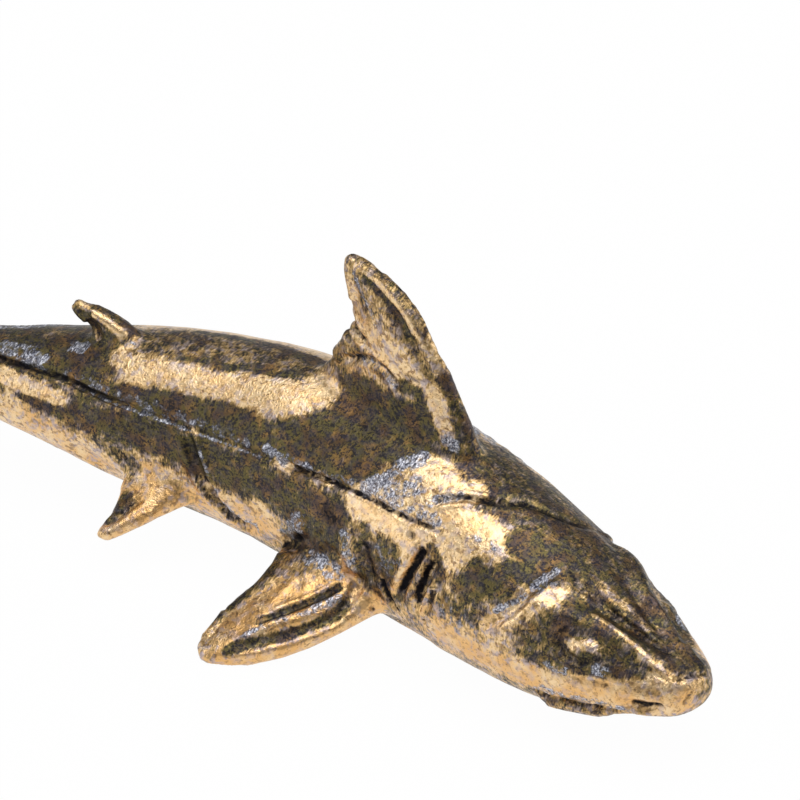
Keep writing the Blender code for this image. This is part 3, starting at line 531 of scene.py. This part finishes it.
def spine_yaw(station):
    """Heading of the spine, towards the snout, at a distance from the snout."""
    share = smooth_share((station - BEND_START) / (BEND_END - BEND_START))
    return CHEST_YAW + (TAIL_YAW - CHEST_YAW) * share


def spine_points():
    """Stations along the spine, and its places in plan, with the rest station at the origin."""
    stations = np.linspace(SPINE_START, SPINE_END, SPINE_STEPS + 1)
    middles = spine_yaw((stations[1:] + stations[:-1]) / 2.0)
    steps = np.diff(stations)
    x = np.concatenate([[0.0], np.cumsum(-steps * np.cos(middles))])
    y = np.concatenate([[0.0], np.cumsum(-steps * np.sin(middles))])
    return stations, x - np.interp(REST_STATION, stations, x), y - np.interp(REST_STATION, stations, y)


def body_places(points):
    """Places on the body of points in millimetres: station, distance to the left, height."""
    stations, x, y = spine_points()
    station = REST_STATION - points[:, 0]
    for _ in range(PLACE_ROUNDS):
        heading = spine_yaw(station)
        from_x = points[:, 0] - np.interp(station, stations, x)
        from_y = points[:, 1] - np.interp(station, stations, y)
        station = station - (from_x * np.cos(heading) + from_y * np.sin(heading))
    heading = spine_yaw(station)
    offset = from_y * np.cos(heading) - from_x * np.sin(heading)
    return np.stack([station, offset, points[:, 2]], axis=1)


def uneven(points, size, seed):
    """Smooth random values from -1 to 1 that change over a length of size."""
    corners = np.random.RandomState(seed).uniform(-1.0, 1.0, (RANDOM_CORNERS,) * 3)
    place = points / size
    cell = np.floor(place).astype(int)
    share = smooth_share(place - cell)
    total = np.zeros(len(points))
    for corner in np.ndindex(2, 2, 2):
        weight = np.prod(np.where(corner, share, 1.0 - share), axis=1)
        index = (cell + corner) % RANDOM_CORNERS
        total += weight * corners[index[:, 0], index[:, 1], index[:, 2]]
    return total


def unevenness(points, rows):
    """The sum of uneven values, from rows of size, strength and seed."""
    total = np.zeros(len(points))
    for size, strength, seed in rows:
        total += strength * uneven(points, size, seed)
    return total


def mirrored(rows):
    """The same places on the other side of the spine."""
    return tuple((station, -offset, height) for station, offset, height in rows)


def draped(places, rows):
    """A path through rows, cut short and laid on the skin."""
    rows = np.array(rows, float)
    path = [rows[0]]
    for start, end in zip(rows[:-1], rows[1:]):
        pieces = max(1, int(np.linalg.norm(end - start) / PATH_PIECE))
        path += [start + (end - start) * k / pieces for k in range(1, pieces + 1)]
    low = rows.min(axis=0) - DRAPE_REACH
    high = rows.max(axis=0) + DRAPE_REACH
    near = places[((places > low) & (places < high)).all(axis=1)]
    laid = np.array([near[np.argmin(((near - p) ** 2).sum(axis=1))] for p in path])
    for _ in range(PATH_ROUNDS):
        laid[1:-1] = (laid[:-2] + 2.0 * laid[1:-1] + laid[2:]) / 4.0
    return laid


def distance_along(places, rows, reach):
    """Vertices within reach of a path: numbers, distances from it, shares of its length."""
    path = draped(places, rows)
    low = path.min(axis=0) - reach
    high = path.max(axis=0) + reach
    near = np.flatnonzero(((places > low) & (places < high)).all(axis=1))
    spots = places[near]
    gap = np.full(len(near), FAR_AWAY)
    along = np.zeros(len(near))
    ends = path[1:] if len(path) > 1 else path
    for number, (start, end) in enumerate(zip(path, ends)):
        run = end - start
        share = np.clip((spots - start) @ run / max(run @ run, TINY), 0.0, 1.0)
        apart = np.linalg.norm(spots - start - share[:, None] * run, axis=1)
        along = np.where(apart < gap, (number + share) / len(ends), along)
        gap = np.minimum(gap, apart)
    return near, gap, along


def tapered(along):
    """1 along the middle of a path, less towards its two ends."""
    start = smooth_share(END_SHARE + END_STEEPNESS * along)
    return start * smooth_share(END_SHARE + END_STEEPNESS * (1.0 - along))


def hump(value):
    """1 at nought, less away from it, and 0 from one on."""
    return np.clip(1.0 - value ** 2, 0.0, 1.0)


def every_side(both, once):
    """All the strokes: those on both sides, their mirror images, and those that are there once."""
    for stroke in both:
        yield stroke
        yield stroke[:-1] + (mirrored(stroke[-1]),)
    for stroke in once:
        yield stroke


def every_pit():
    """Radius, depth and place of all the pits, each with its mirror image."""
    for radius, depth, place in PITS:
        yield radius, depth, (place,)
        yield radius, depth, mirrored((place,))


def smoothed(points, edges, rounds, weight=1.0):
    """Points moved towards their neighbours and out again, which rounds them and keeps the volume."""
    count = np.bincount(edges.ravel(), minlength=len(points)).astype(float)[:, None]
    first, second = edges[:, 0], edges[:, 1]
    for _ in range(rounds):
        for share in (SMOOTHING_IN, SMOOTHING_OUT):
            total = np.stack([
                np.bincount(first, points[second, axis], len(points))
                + np.bincount(second, points[first, axis], len(points))
                for axis in range(3)], axis=1)
            points = points + share * weight * (total / count - points)
    return points


def read_points(mesh):
    """The mesh's vertices in millimetres."""
    values = np.zeros(len(mesh.vertices) * 3)
    mesh.vertices.foreach_get("co", values)
    return values.reshape(-1, 3) / MM


def write_points(mesh, points):
    """Puts vertices, given in millimetres, into the mesh."""
    mesh.vertices.foreach_set("co", (points * MM).ravel())
    mesh.update()


def apply_modifiers(piece):
    """Keeps the shape that the piece's modifiers give."""
    shown = piece.evaluated_get(bpy.context.evaluated_depsgraph_get())
    mesh = bpy.data.meshes.new_from_object(shown)
    piece.modifiers.clear()
    old = piece.data
    piece.data = mesh
    bpy.data.meshes.remove(old)


def rounding_share(points):
    """How much of the further rounding each place gets."""
    places = body_places(points)
    share = np.zeros(len(places))
    for half_width, rows in ROUNDED:
        near, gap, _ = distance_along(places, rows, SOFT_EDGE * half_width)
        share[near] = np.maximum(share[near], smooth_share(SOFT_EDGE - gap / half_width))
    return share[:, None]


def wrapped_skin(node):
    """A new piece: an even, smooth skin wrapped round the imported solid."""
    piece = bpy.data.objects.new("cast_skin", node.data.copy())
    bpy.context.scene.collection.objects.link(piece)
    wrap = piece.modifiers.new("wrap", "REMESH")
    wrap.mode = "VOXEL"
    wrap.voxel_size = SKIN_CELL * MM
    apply_modifiers(piece)
    mesh = piece.data
    edges = np.zeros(len(mesh.edges) * 2, int)
    mesh.edges.foreach_get("vertices", edges)
    edges = edges.reshape(-1, 2)
    points = smoothed(read_points(mesh), edges, SMOOTHING_ROUNDS)
    write_points(mesh, smoothed(points, edges, ROUNDING_ROUNDS, rounding_share(points)))
    finer = piece.modifiers.new("finer", "SUBSURF")
    finer.levels = 1
    finer.render_levels = 1
    apply_modifiers(piece)
    return piece


def cut_grooves(height, places):
    """Cuts the grooves and raises their lips."""
    ragged = unevenness(places, RAGGED_GROOVES)
    for half_width, depth, lip, _, rows in every_side(GROOVES_ON_BOTH_SIDES, GROOVES_ONCE):
        near, gap, along = distance_along(places, rows, GROOVE_REACH * half_width)
        gap = gap / half_width + ragged[near]
        floor = hump(np.maximum(gap, 0.0)) ** HOLLOW_POWER
        edge = hump((gap - LIP_PLACE) / LIP_WIDTH)
        height[near] += (lip * edge - depth * floor) * tapered(along)


def raise_ridges(height, places):
    """Raises the ridges and the broad swellings, and sinks the broad hollows."""
    raised = every_side(RIDGES_ON_BOTH_SIDES + BROAD_ON_BOTH_SIDES, RIDGES_ONCE + BROAD_ONCE)
    for half_width, rise, rows in raised:
        near, gap, along = distance_along(places, rows, half_width)
        height[near] += rise * hump(gap / half_width) ** 2 * tapered(along)


def roughen(height, places):
    """Adds the pits, the lumps and the knotty places."""
    for radius, depth, rows in every_pit():
        near, gap, _ = distance_along(places, rows, radius)
        height[near] -= depth * hump(gap / radius) ** HOLLOW_POWER
    for size, rise, seed in LUMPS:
        height += rise * uneven(places, size, seed)
    knots = uneven(places, KNOT_SIZE, KNOT_SEED)
    for rise, half_width, rows in every_side(KNOTTY_ON_BOTH_SIDES, ()):
        near, gap, _ = distance_along(places, rows, SOFT_EDGE * half_width)
        height[near] += rise * knots[near] * smooth_share(SOFT_EDGE - gap / half_width)


def relief(places):
    """Height of the modelled detail over the smooth skin, in millimetres."""
    height = np.zeros(len(places))
    cut_grooves(height, places)
    raise_ridges(height, places)
    roughen(height, places)
    return np.clip(height, -DEEPEST_RELIEF, DEEPEST_RELIEF)


def carve(piece):
    """Moves the skin in and out by the relief, and keeps it flat where it rests on the table."""
    mesh = piece.data
    points = read_points(mesh)
    normals = np.zeros(len(mesh.vertices) * 3)
    mesh.vertex_normals.foreach_get("vector", normals)
    low = points.min(axis=0)
    high = points.max(axis=0)
    fade = smooth_share(points[:, 2] / TABLE_FADE)
    moved = points + normals.reshape(-1, 3) * (relief(body_places(points)) * fade)[:, None]
    moved = np.clip(moved, low, high)
    moved[:, 2] = np.where(points[:, 2] < REST_BAND, 0.0, np.maximum(moved[:, 2], 0.0))
    write_points(mesh, moved)


def thin_out(piece):
    """Keeps the triangles where the skin is most curved."""
    triangles = sum(len(face.vertices) - 2 for face in piece.data.polygons)
    fewer = piece.modifiers.new("fewer", "DECIMATE")
    fewer.ratio = SKIN_TRIANGLES / triangles
    apply_modifiers(piece)
    for face in piece.data.polygons:
        face.use_smooth = True


def oxide_and_reflection_layer(places, ragged):
    """How much dark patina each place has, with the painted reflection bands of the back, flank, belly
    edge and lip laid in.
    """
    oxide_and_reflection = np.full(len(places), PLAIN_OXIDE) + unevenness(places, UNEVEN_OXIDE)
    for share, half_width, rows in every_side(PATINA_AND_REFLECTION_ON_BOTH_SIDES, PATINA_ONCE):
        near, gap, _ = distance_along(places, rows, OXIDE_REACH * half_width)
        cover = smooth_share(OXIDE_EDGE - gap / half_width + ragged[near])
        oxide_and_reflection[near] += (share - oxide_and_reflection[near]) * cover
    return oxide_and_reflection


def pale_layer(places, ragged):
    """How much pale scale, and painted highlight, each place has."""
    pale = np.zeros(len(places))
    for strength, half_width, rows in every_side(PALE_ON_BOTH_SIDES, PALE_ONCE):
        near, gap, _ = distance_along(places, rows, SOFT_EDGE * half_width)
        cover = smooth_share(SOFT_EDGE - gap / half_width + ragged[near])
        pale[near] = np.maximum(pale[near], strength * cover)
    return pale


def black_layer(places, ragged):
    """How black each place is: the floors of the grooves, the smudges and the pits."""
    black = np.zeros(len(places))
    for half_width, _, _, ink, rows in every_side(GROOVES_ON_BOTH_SIDES, GROOVES_ONCE):
        near, gap, along = distance_along(places, rows, INK_REACH * half_width)
        dark = ink * smooth_share(INK_EDGE - INK_FALL * gap / half_width) * tapered(along)
        black[near] = np.maximum(black[near], dark)
    for strength, half_width, rows in every_side(SMUDGES_ON_BOTH_SIDES, SMUDGES_ONCE):
        near, gap, _ = distance_along(places, rows, SOFT_EDGE * half_width)
        dark = strength * smooth_share(SOFT_EDGE - SMUDGE_FALL * gap / half_width + ragged[near])
        black[near] = np.maximum(black[near], dark)
    for radius, depth, rows in every_pit():
        near, gap, _ = distance_along(places, rows, radius)
        dark = min(1.0, depth / INKY_PIT) * smooth_share(PIT_EDGE - PIT_EDGE * gap / radius)
        black[near] = np.maximum(black[near], dark)
    return black


def paint(piece):
    """Stores on the skin how much patina with its painted reflection bands, how much pale scale with its
    painted highlights, and how much groove black each place has.
    """
    places = body_places(read_points(piece.data))
    ragged = unevenness(places, RAGGED_STROKES)
    layers = {
        "oxide_and_reflection": oxide_and_reflection_layer(places, ragged),
        "pale": pale_layer(places, ragged),
        "black": black_layer(places, ragged)}
    for name, values in layers.items():
        layer = piece.data.attributes.new(name, "FLOAT", "POINT")
        layer.data.foreach_set("value", np.clip(values, 0.0, 1.0))


class Nodes:
    """Short calls that add shader nodes to a material and join them."""

    def __init__(self, material):
        material.use_nodes = True
        self.tree = material.node_tree
        self.shader = self.tree.nodes["Principled BSDF"]
        self.place = self.add("ShaderNodeTexCoord").outputs["Object"]

    def add(self, kind):
        return self.tree.nodes.new(kind)

    def join(self, value, socket):
        if isinstance(value, bpy.types.NodeSocket):
            self.tree.links.new(value, socket)
        else:
            socket.default_value = value

    def layer(self, name):
        node = self.add("ShaderNodeAttribute")
        node.attribute_name = name
        return node.outputs["Fac"]

    def height(self, low, high):
        """1 below the low height, 0 above the high one, in millimetres over the table."""
        node = self.add("ShaderNodeSeparateXYZ")
        self.join(self.place, node.inputs["Vector"])
        return self.ramp(node.outputs["Z"], low * MM, high * MM, 1.0, 0.0)

    def noise(self, size, detail, distortion, shift, stretch):
        mapping = self.add("ShaderNodeMapping")
        self.join(self.place, mapping.inputs["Vector"])
        mapping.inputs["Location"].default_value = (shift, shift, shift)
        mapping.inputs["Scale"].default_value = stretch
        node = self.add("ShaderNodeTexNoise")
        self.join(mapping.outputs["Vector"], node.inputs["Vector"])
        node.inputs["Scale"].default_value = 1.0 / (size * MM)
        node.inputs["Detail"].default_value = detail
        node.inputs["Distortion"].default_value = distortion
        return node.outputs["Fac"]

    def math(self, operation, first, second=0.0):
        node = self.add("ShaderNodeMath")
        node.operation = operation
        self.join(first, node.inputs[0])
        self.join(second, node.inputs[1])
        return node.outputs["Value"]

    def ramp(self, value, low, high, to_low=0.0, to_high=1.0):
        node = self.add("ShaderNodeMapRange")
        node.interpolation_type = "SMOOTHSTEP"
        self.join(value, node.inputs["Value"])
        node.inputs["From Min"].default_value = low
        node.inputs["From Max"].default_value = high
        node.inputs["To Min"].default_value = to_low
        node.inputs["To Max"].default_value = to_high
        return node.outputs["Result"]

    def mix(self, share, first, second):
        node = self.add("ShaderNodeMix")
        node.data_type = "RGBA"
        self.join(share, node.inputs["Factor"])
        for colour, name in ((first, "A"), (second, "B")):
            opaque = colour + (1.0,) if isinstance(colour, tuple) else colour
            self.join(opaque, node.inputs[name])
        return node.outputs["Result"]

    def bump(self, height, distance, strength, below=None):
        node = self.add("ShaderNodeBump")
        node.inputs["Distance"].default_value = distance * MM
        node.inputs["Strength"].default_value = strength
        self.join(height, node.inputs["Height"])
        if below is not None:
            self.join(below, node.inputs["Normal"])
        return node.outputs["Normal"]


def scaled(nodes, value, strength):
    """A value times a strength."""
    return nodes.math("MULTIPLY", value, strength)


def centred(nodes, value, strength):
    """A noise value turned to run evenly below and above nought."""
    return scaled(nodes, nodes.math("SUBTRACT", value, 0.5), strength)


def patina_and_reflection_share(nodes, noise):
    """How far the dark patina covers the metal: the laid patina with its painted reflection bands, broken
    up by blotches and brushing.
    """
    share = nodes.math("ADD", nodes.layer("oxide_and_reflection"), centred(nodes, noise["blotch"], BLOTCHY_PATINA))
    share = nodes.math("ADD", share, centred(nodes, noise["speckle"], SPECKLED_PATINA))
    share = nodes.math("ADD", share, centred(nodes, noise["brush"], BRUSHED_PATINA))
    return nodes.ramp(share, *PATINA_RAMP)


def metal_colour(nodes, noise, soiled_and_reflection):
    """Bare brass: pale where polished, deeper elsewhere and deeper orange towards the bottom as a painted
    warm reflection, with small brown pits, more of them where the laid patina and its painted dark
    reflection bands lie.
    """
    colour = nodes.mix(nodes.ramp(noise["speckle"], *GOLD_RAMP), PALE_GOLD, BARE_GOLD)
    # Deeper orange gold towards the bottom: a painted warm reflection, on top of random blotches.
    amber = nodes.math("ADD", noise["blotch"], scaled(nodes, nodes.height(*AMBER_HEIGHTS), LOW_AMBER))
    colour = nodes.mix(nodes.ramp(amber, *DEEP_GOLD_RAMP), colour, DEEP_GOLD)
    grainy = centred(nodes, noise["grain"], GRAINY_PITS)
    pits = nodes.math("ADD", grainy, centred(nodes, noise["speckle"], SPECKLED_PITS))
    colour = nodes.mix(nodes.ramp(pits, *PITS_RAMP), colour, PIT_BROWN)
    dots = nodes.math("ADD", noise["dots"], centred(nodes, noise["speckle"], SPECKLED_DOTS))
    dots = nodes.math("MULTIPLY", nodes.ramp(dots, *DOTS_RAMP), soiled_and_reflection)
    return nodes.mix(dots, colour, PIT_BROWN)


def oxide_colour(nodes, noise):
    """The patina: olive and brown, amber in places, almost black in small spots."""
    colour = nodes.mix(nodes.ramp(noise["blotch"], *BROWN_RAMP), OLIVE_OXIDE, BROWN_OXIDE)
    colour = nodes.mix(nodes.ramp(noise["warm"], *WARM_RAMP), colour, AMBER_OXIDE)
    spots = nodes.math("ADD", noise["grain"], centred(nodes, noise["speckle"], SPECKLED_SPOTS))
    return nodes.mix(nodes.ramp(spots, *SPOTS_RAMP), colour, INK_OXIDE)


def film_share(nodes, noise, oxide_and_reflection, soiled_and_reflection):
    """How far a thin film covers the metal; its lilac on bare metal is a painted sheen."""
    film = nodes.math("ADD", noise["flake"], scaled(nodes, oxide_and_reflection, OXIDE_IN_FILM))
    film = nodes.math("MULTIPLY", nodes.ramp(film, *FILM_RAMP), soiled_and_reflection)
    return nodes.math("MULTIPLY", film, nodes.ramp(oxide_and_reflection, *FILM_FADE))


def pale_share(nodes, noise):
    """How far the scratched scale and the painted highlights cover the metal."""
    pale = nodes.math("ADD", nodes.layer("pale"), centred(nodes, noise["flake"], FLAKY_SCALE))
    pale = nodes.math("ADD", pale, centred(nodes, noise["speckle"], SPECKLED_SCALE))
    return nodes.ramp(pale, *PALE_RAMP)


def scale_and_highlight_colour(nodes, noise):
    """Blue-grey scale with dark and silver scratches, also used for the painted highlights."""
    colour = nodes.mix(nodes.ramp(noise["scratch"], *BLUE_RAMP), SCALE_INK, BLUE_SCALE)
    return nodes.mix(nodes.ramp(noise["scratch"], *SILVER_RAMP), colour, SCRATCH_SILVER)


def black_share(nodes, noise):
    """How far black covers the metal, in the grooves and the smudges."""
    black = nodes.math("ADD", nodes.layer("black"), centred(nodes, noise["speckle"], SPECKLED_BLACK))
    return nodes.ramp(black, *BLACK_RAMP)


def roughness(nodes, noise, oxide_and_reflection, film, black):
    """Rougher where the patina and its painted dark reflection bands lie, and where there is film or
    groove black.
    """
    rough = nodes.ramp(oxide_and_reflection, *ROUGHNESS_RAMP)
    rough = nodes.math("ADD", rough, centred(nodes, noise["grain"], GRAINY_ROUGHNESS))
    rough = nodes.math("ADD", rough, scaled(nodes, film, FILM_ROUGHNESS))
    return nodes.math("ADD", rough, scaled(nodes, black, BLACK_ROUGHNESS))


def bumps(nodes, noise, film, pale):
    """Fine brushing, grain, flakes of film and scratches."""
    flakes = nodes.math("ADD", noise["speckle"], scaled(nodes, film, FILM_IN_BUMP))
    normal = nodes.bump(noise["brush"], *BRUSH_BUMP)
    normal = nodes.bump(noise["grain"], *GRAIN_BUMP, normal)
    normal = nodes.bump(flakes, *SPECKLE_BUMP, normal)
    return nodes.bump(nodes.math("MULTIPLY", pale, noise["scratch"]), *SCRATCH_BUMP, normal)


def aged_brass():
    """Cast brass: warm metal, olive and brown patina, a lilac film, scratches, black grooves, grain, with
    painted reflections, a painted sheen and painted highlights laid into the colour.
    """
    material = bpy.data.materials.new("aged_brass")
    nodes = Nodes(material)
    noise = {name: nodes.noise(*row) for name, row in NOISES.items()}
    oxide_and_reflection = patina_and_reflection_share(nodes, noise)
    # The laid patina layer, with its painted reflection bands, decides where brown dots and film gather.
    soiled_and_reflection = nodes.ramp(nodes.layer("oxide_and_reflection"), *SOILED_AND_REFLECTION_RAMP)
    film = film_share(nodes, noise, oxide_and_reflection, soiled_and_reflection)
    pale = pale_share(nodes, noise)
    black = black_share(nodes, noise)
    colour = metal_colour(nodes, noise, soiled_and_reflection)
    # Tarnished gold, then the patina's colours, over the patina share. In the bands of the back and flank
    # this is a painted dark reflection.
    colour = nodes.mix(nodes.ramp(oxide_and_reflection, *TARNISH_RAMP), colour, TARNISHED_GOLD)
    colour = nodes.mix(nodes.ramp(oxide_and_reflection, *OXIDE_RAMP), colour, oxide_colour(nodes, noise))
    # The film: lilac on bare metal, a painted sheen, and violet where the patina lies.
    colour = nodes.mix(film, colour, nodes.mix(oxide_and_reflection, LILAC_FILM_AND_SHEEN, VIOLET_OXIDE))
    # Pale scale and scratches, and the painted highlights, over the metal.
    colour = nodes.mix(scaled(nodes, pale, SCALE_COVER), colour, scale_and_highlight_colour(nodes, noise))
    colour = nodes.mix(black, colour, GROOVE_BLACK)
    inputs = nodes.shader.inputs
    nodes.join(colour, inputs["Base Color"])
    inputs["Metallic"].default_value = 1.0
    nodes.join(roughness(nodes, noise, oxide_and_reflection, film, black), inputs["Roughness"])
    nodes.join(bumps(nodes, noise, film, pale), inputs["Normal"])
    return material


def make_shark(frame):
    """The shark's finished skin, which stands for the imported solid."""
    piece = wrapped_skin(frame["nodes"]["shark"])
    carve(piece)
    thin_out(piece)
    paint(piece)
    piece.data.materials.clear()
    piece.data.materials.append(aged_brass())
    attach(piece, "root")
    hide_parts("shark")


def table_material():
    """A white table that looks white to the camera and in the metal, and keeps the shadow."""
    material = bpy.data.materials.new("table_white")
    nodes = Nodes(material)
    tree = nodes.tree
    nodes.shader.inputs["Base Color"].default_value = (TABLE_WHITE, TABLE_WHITE, TABLE_WHITE, 1.0)
    nodes.shader.inputs["Roughness"].default_value = TABLE_ROUGHNESS
    glow = nodes.add("ShaderNodeEmission")
    light_path = nodes.add("ShaderNodeLightPath")
    seen = light_path.outputs["Is Camera Ray"]
    for ray in ("Is Glossy Ray", "Is Transmission Ray"):
        seen = nodes.math("MAXIMUM", seen, light_path.outputs[ray])
    both = nodes.add("ShaderNodeMixShader")
    nodes.join(nodes.math("MULTIPLY", seen, TABLE_GLOW), both.inputs["Fac"])
    tree.links.new(nodes.shader.outputs["BSDF"], both.inputs[1])
    tree.links.new(glow.outputs["Emission"], both.inputs[2])
    tree.links.new(both.outputs["Shader"], tree.nodes["Material Output"].inputs["Surface"])
    return material


def make_table():
    """A wide round table top under the shark."""
    turns = [2.0 * math.pi * k / TABLE_SIDES for k in range(TABLE_SIDES)]
    rim = [(TABLE_RADIUS * math.cos(t), TABLE_RADIUS * math.sin(t), 0.0) for t in turns]
    mesh = bpy.data.meshes.new("table")
    mesh.from_pydata(rim, [], [list(range(TABLE_SIDES))])
    table = bpy.data.objects.new("table", mesh)
    bpy.context.scene.collection.objects.link(table)
    mesh.materials.append(table_material())


def soft_lamp(name, width, power, place):
    """A round soft lamp that faces the shark."""
    lamp = bpy.data.lights.new(name, "AREA")
    lamp.shape = "DISK"
    lamp.size = width
    lamp.energy = power
    carrier = bpy.data.objects.new(name, lamp)
    carrier.location = place
    carrier.rotation_euler = Vector(place).to_track_quat("Z", "Y").to_euler()
    bpy.context.scene.collection.objects.link(carrier)


def make_lights():
    """A wide soft lamp overhead, a weak one on each side, and faint even light from the room."""
    soft_lamp("overhead", LAMP_WIDTH, LAMP_POWER, (0.0, 0.0, LAMP_HEIGHT))
    for number, place in enumerate(FILL_PLACES):
        soft_lamp(f"fill_{number}", FILL_WIDTH, FILL_POWER, place)
    world = bpy.data.worlds.new("room")
    world.use_nodes = True
    world.node_tree.nodes["Background"].inputs["Color"].default_value = (1.0, 1.0, 1.0, 1.0)
    world.node_tree.nodes["Background"].inputs["Strength"].default_value = ROOM_LIGHT
    bpy.context.scene.world = world


def make_camera():
    """The camera, placed so that the origin falls where it does in the photograph."""
    back = Vector((
        math.sin(CAMERA_TURN) * math.cos(CAMERA_RISE),
        -math.cos(CAMERA_TURN) * math.cos(CAMERA_RISE),
        math.sin(CAMERA_RISE)))
    right = Vector((math.cos(CAMERA_TURN), math.sin(CAMERA_TURN), 0.0))
    up = back.cross(right)
    across = (ORIGIN_X - PICTURE_SIZE / 2.0) / PIXELS_PER_MM * MM
    above = (PICTURE_SIZE / 2.0 - ORIGIN_Y) / PIXELS_PER_MM * MM
    lens = bpy.data.cameras.new("camera")
    lens.sensor_width = SENSOR_WIDTH
    lens.lens = PIXELS_PER_MM * CAMERA_DISTANCE / MM * SENSOR_WIDTH / PICTURE_SIZE
    lens.clip_start = NEAREST
    lens.clip_end = FARTHEST
    camera = bpy.data.objects.new("camera", lens)
    turn = Matrix((right, up, back)).transposed().to_4x4()
    camera.matrix_world = Matrix.Translation(back * CAMERA_DISTANCE - right * across - up * above) @ turn
    bpy.context.scene.collection.objects.link(camera)
    bpy.context.scene.camera = camera


def main():
    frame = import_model()
    bpy.context.scene.view_settings.view_transform = "Standard"
    make_shark(frame)
    make_table()
    make_lights()
    make_camera()
    bpy.context.view_layer.update()


main()
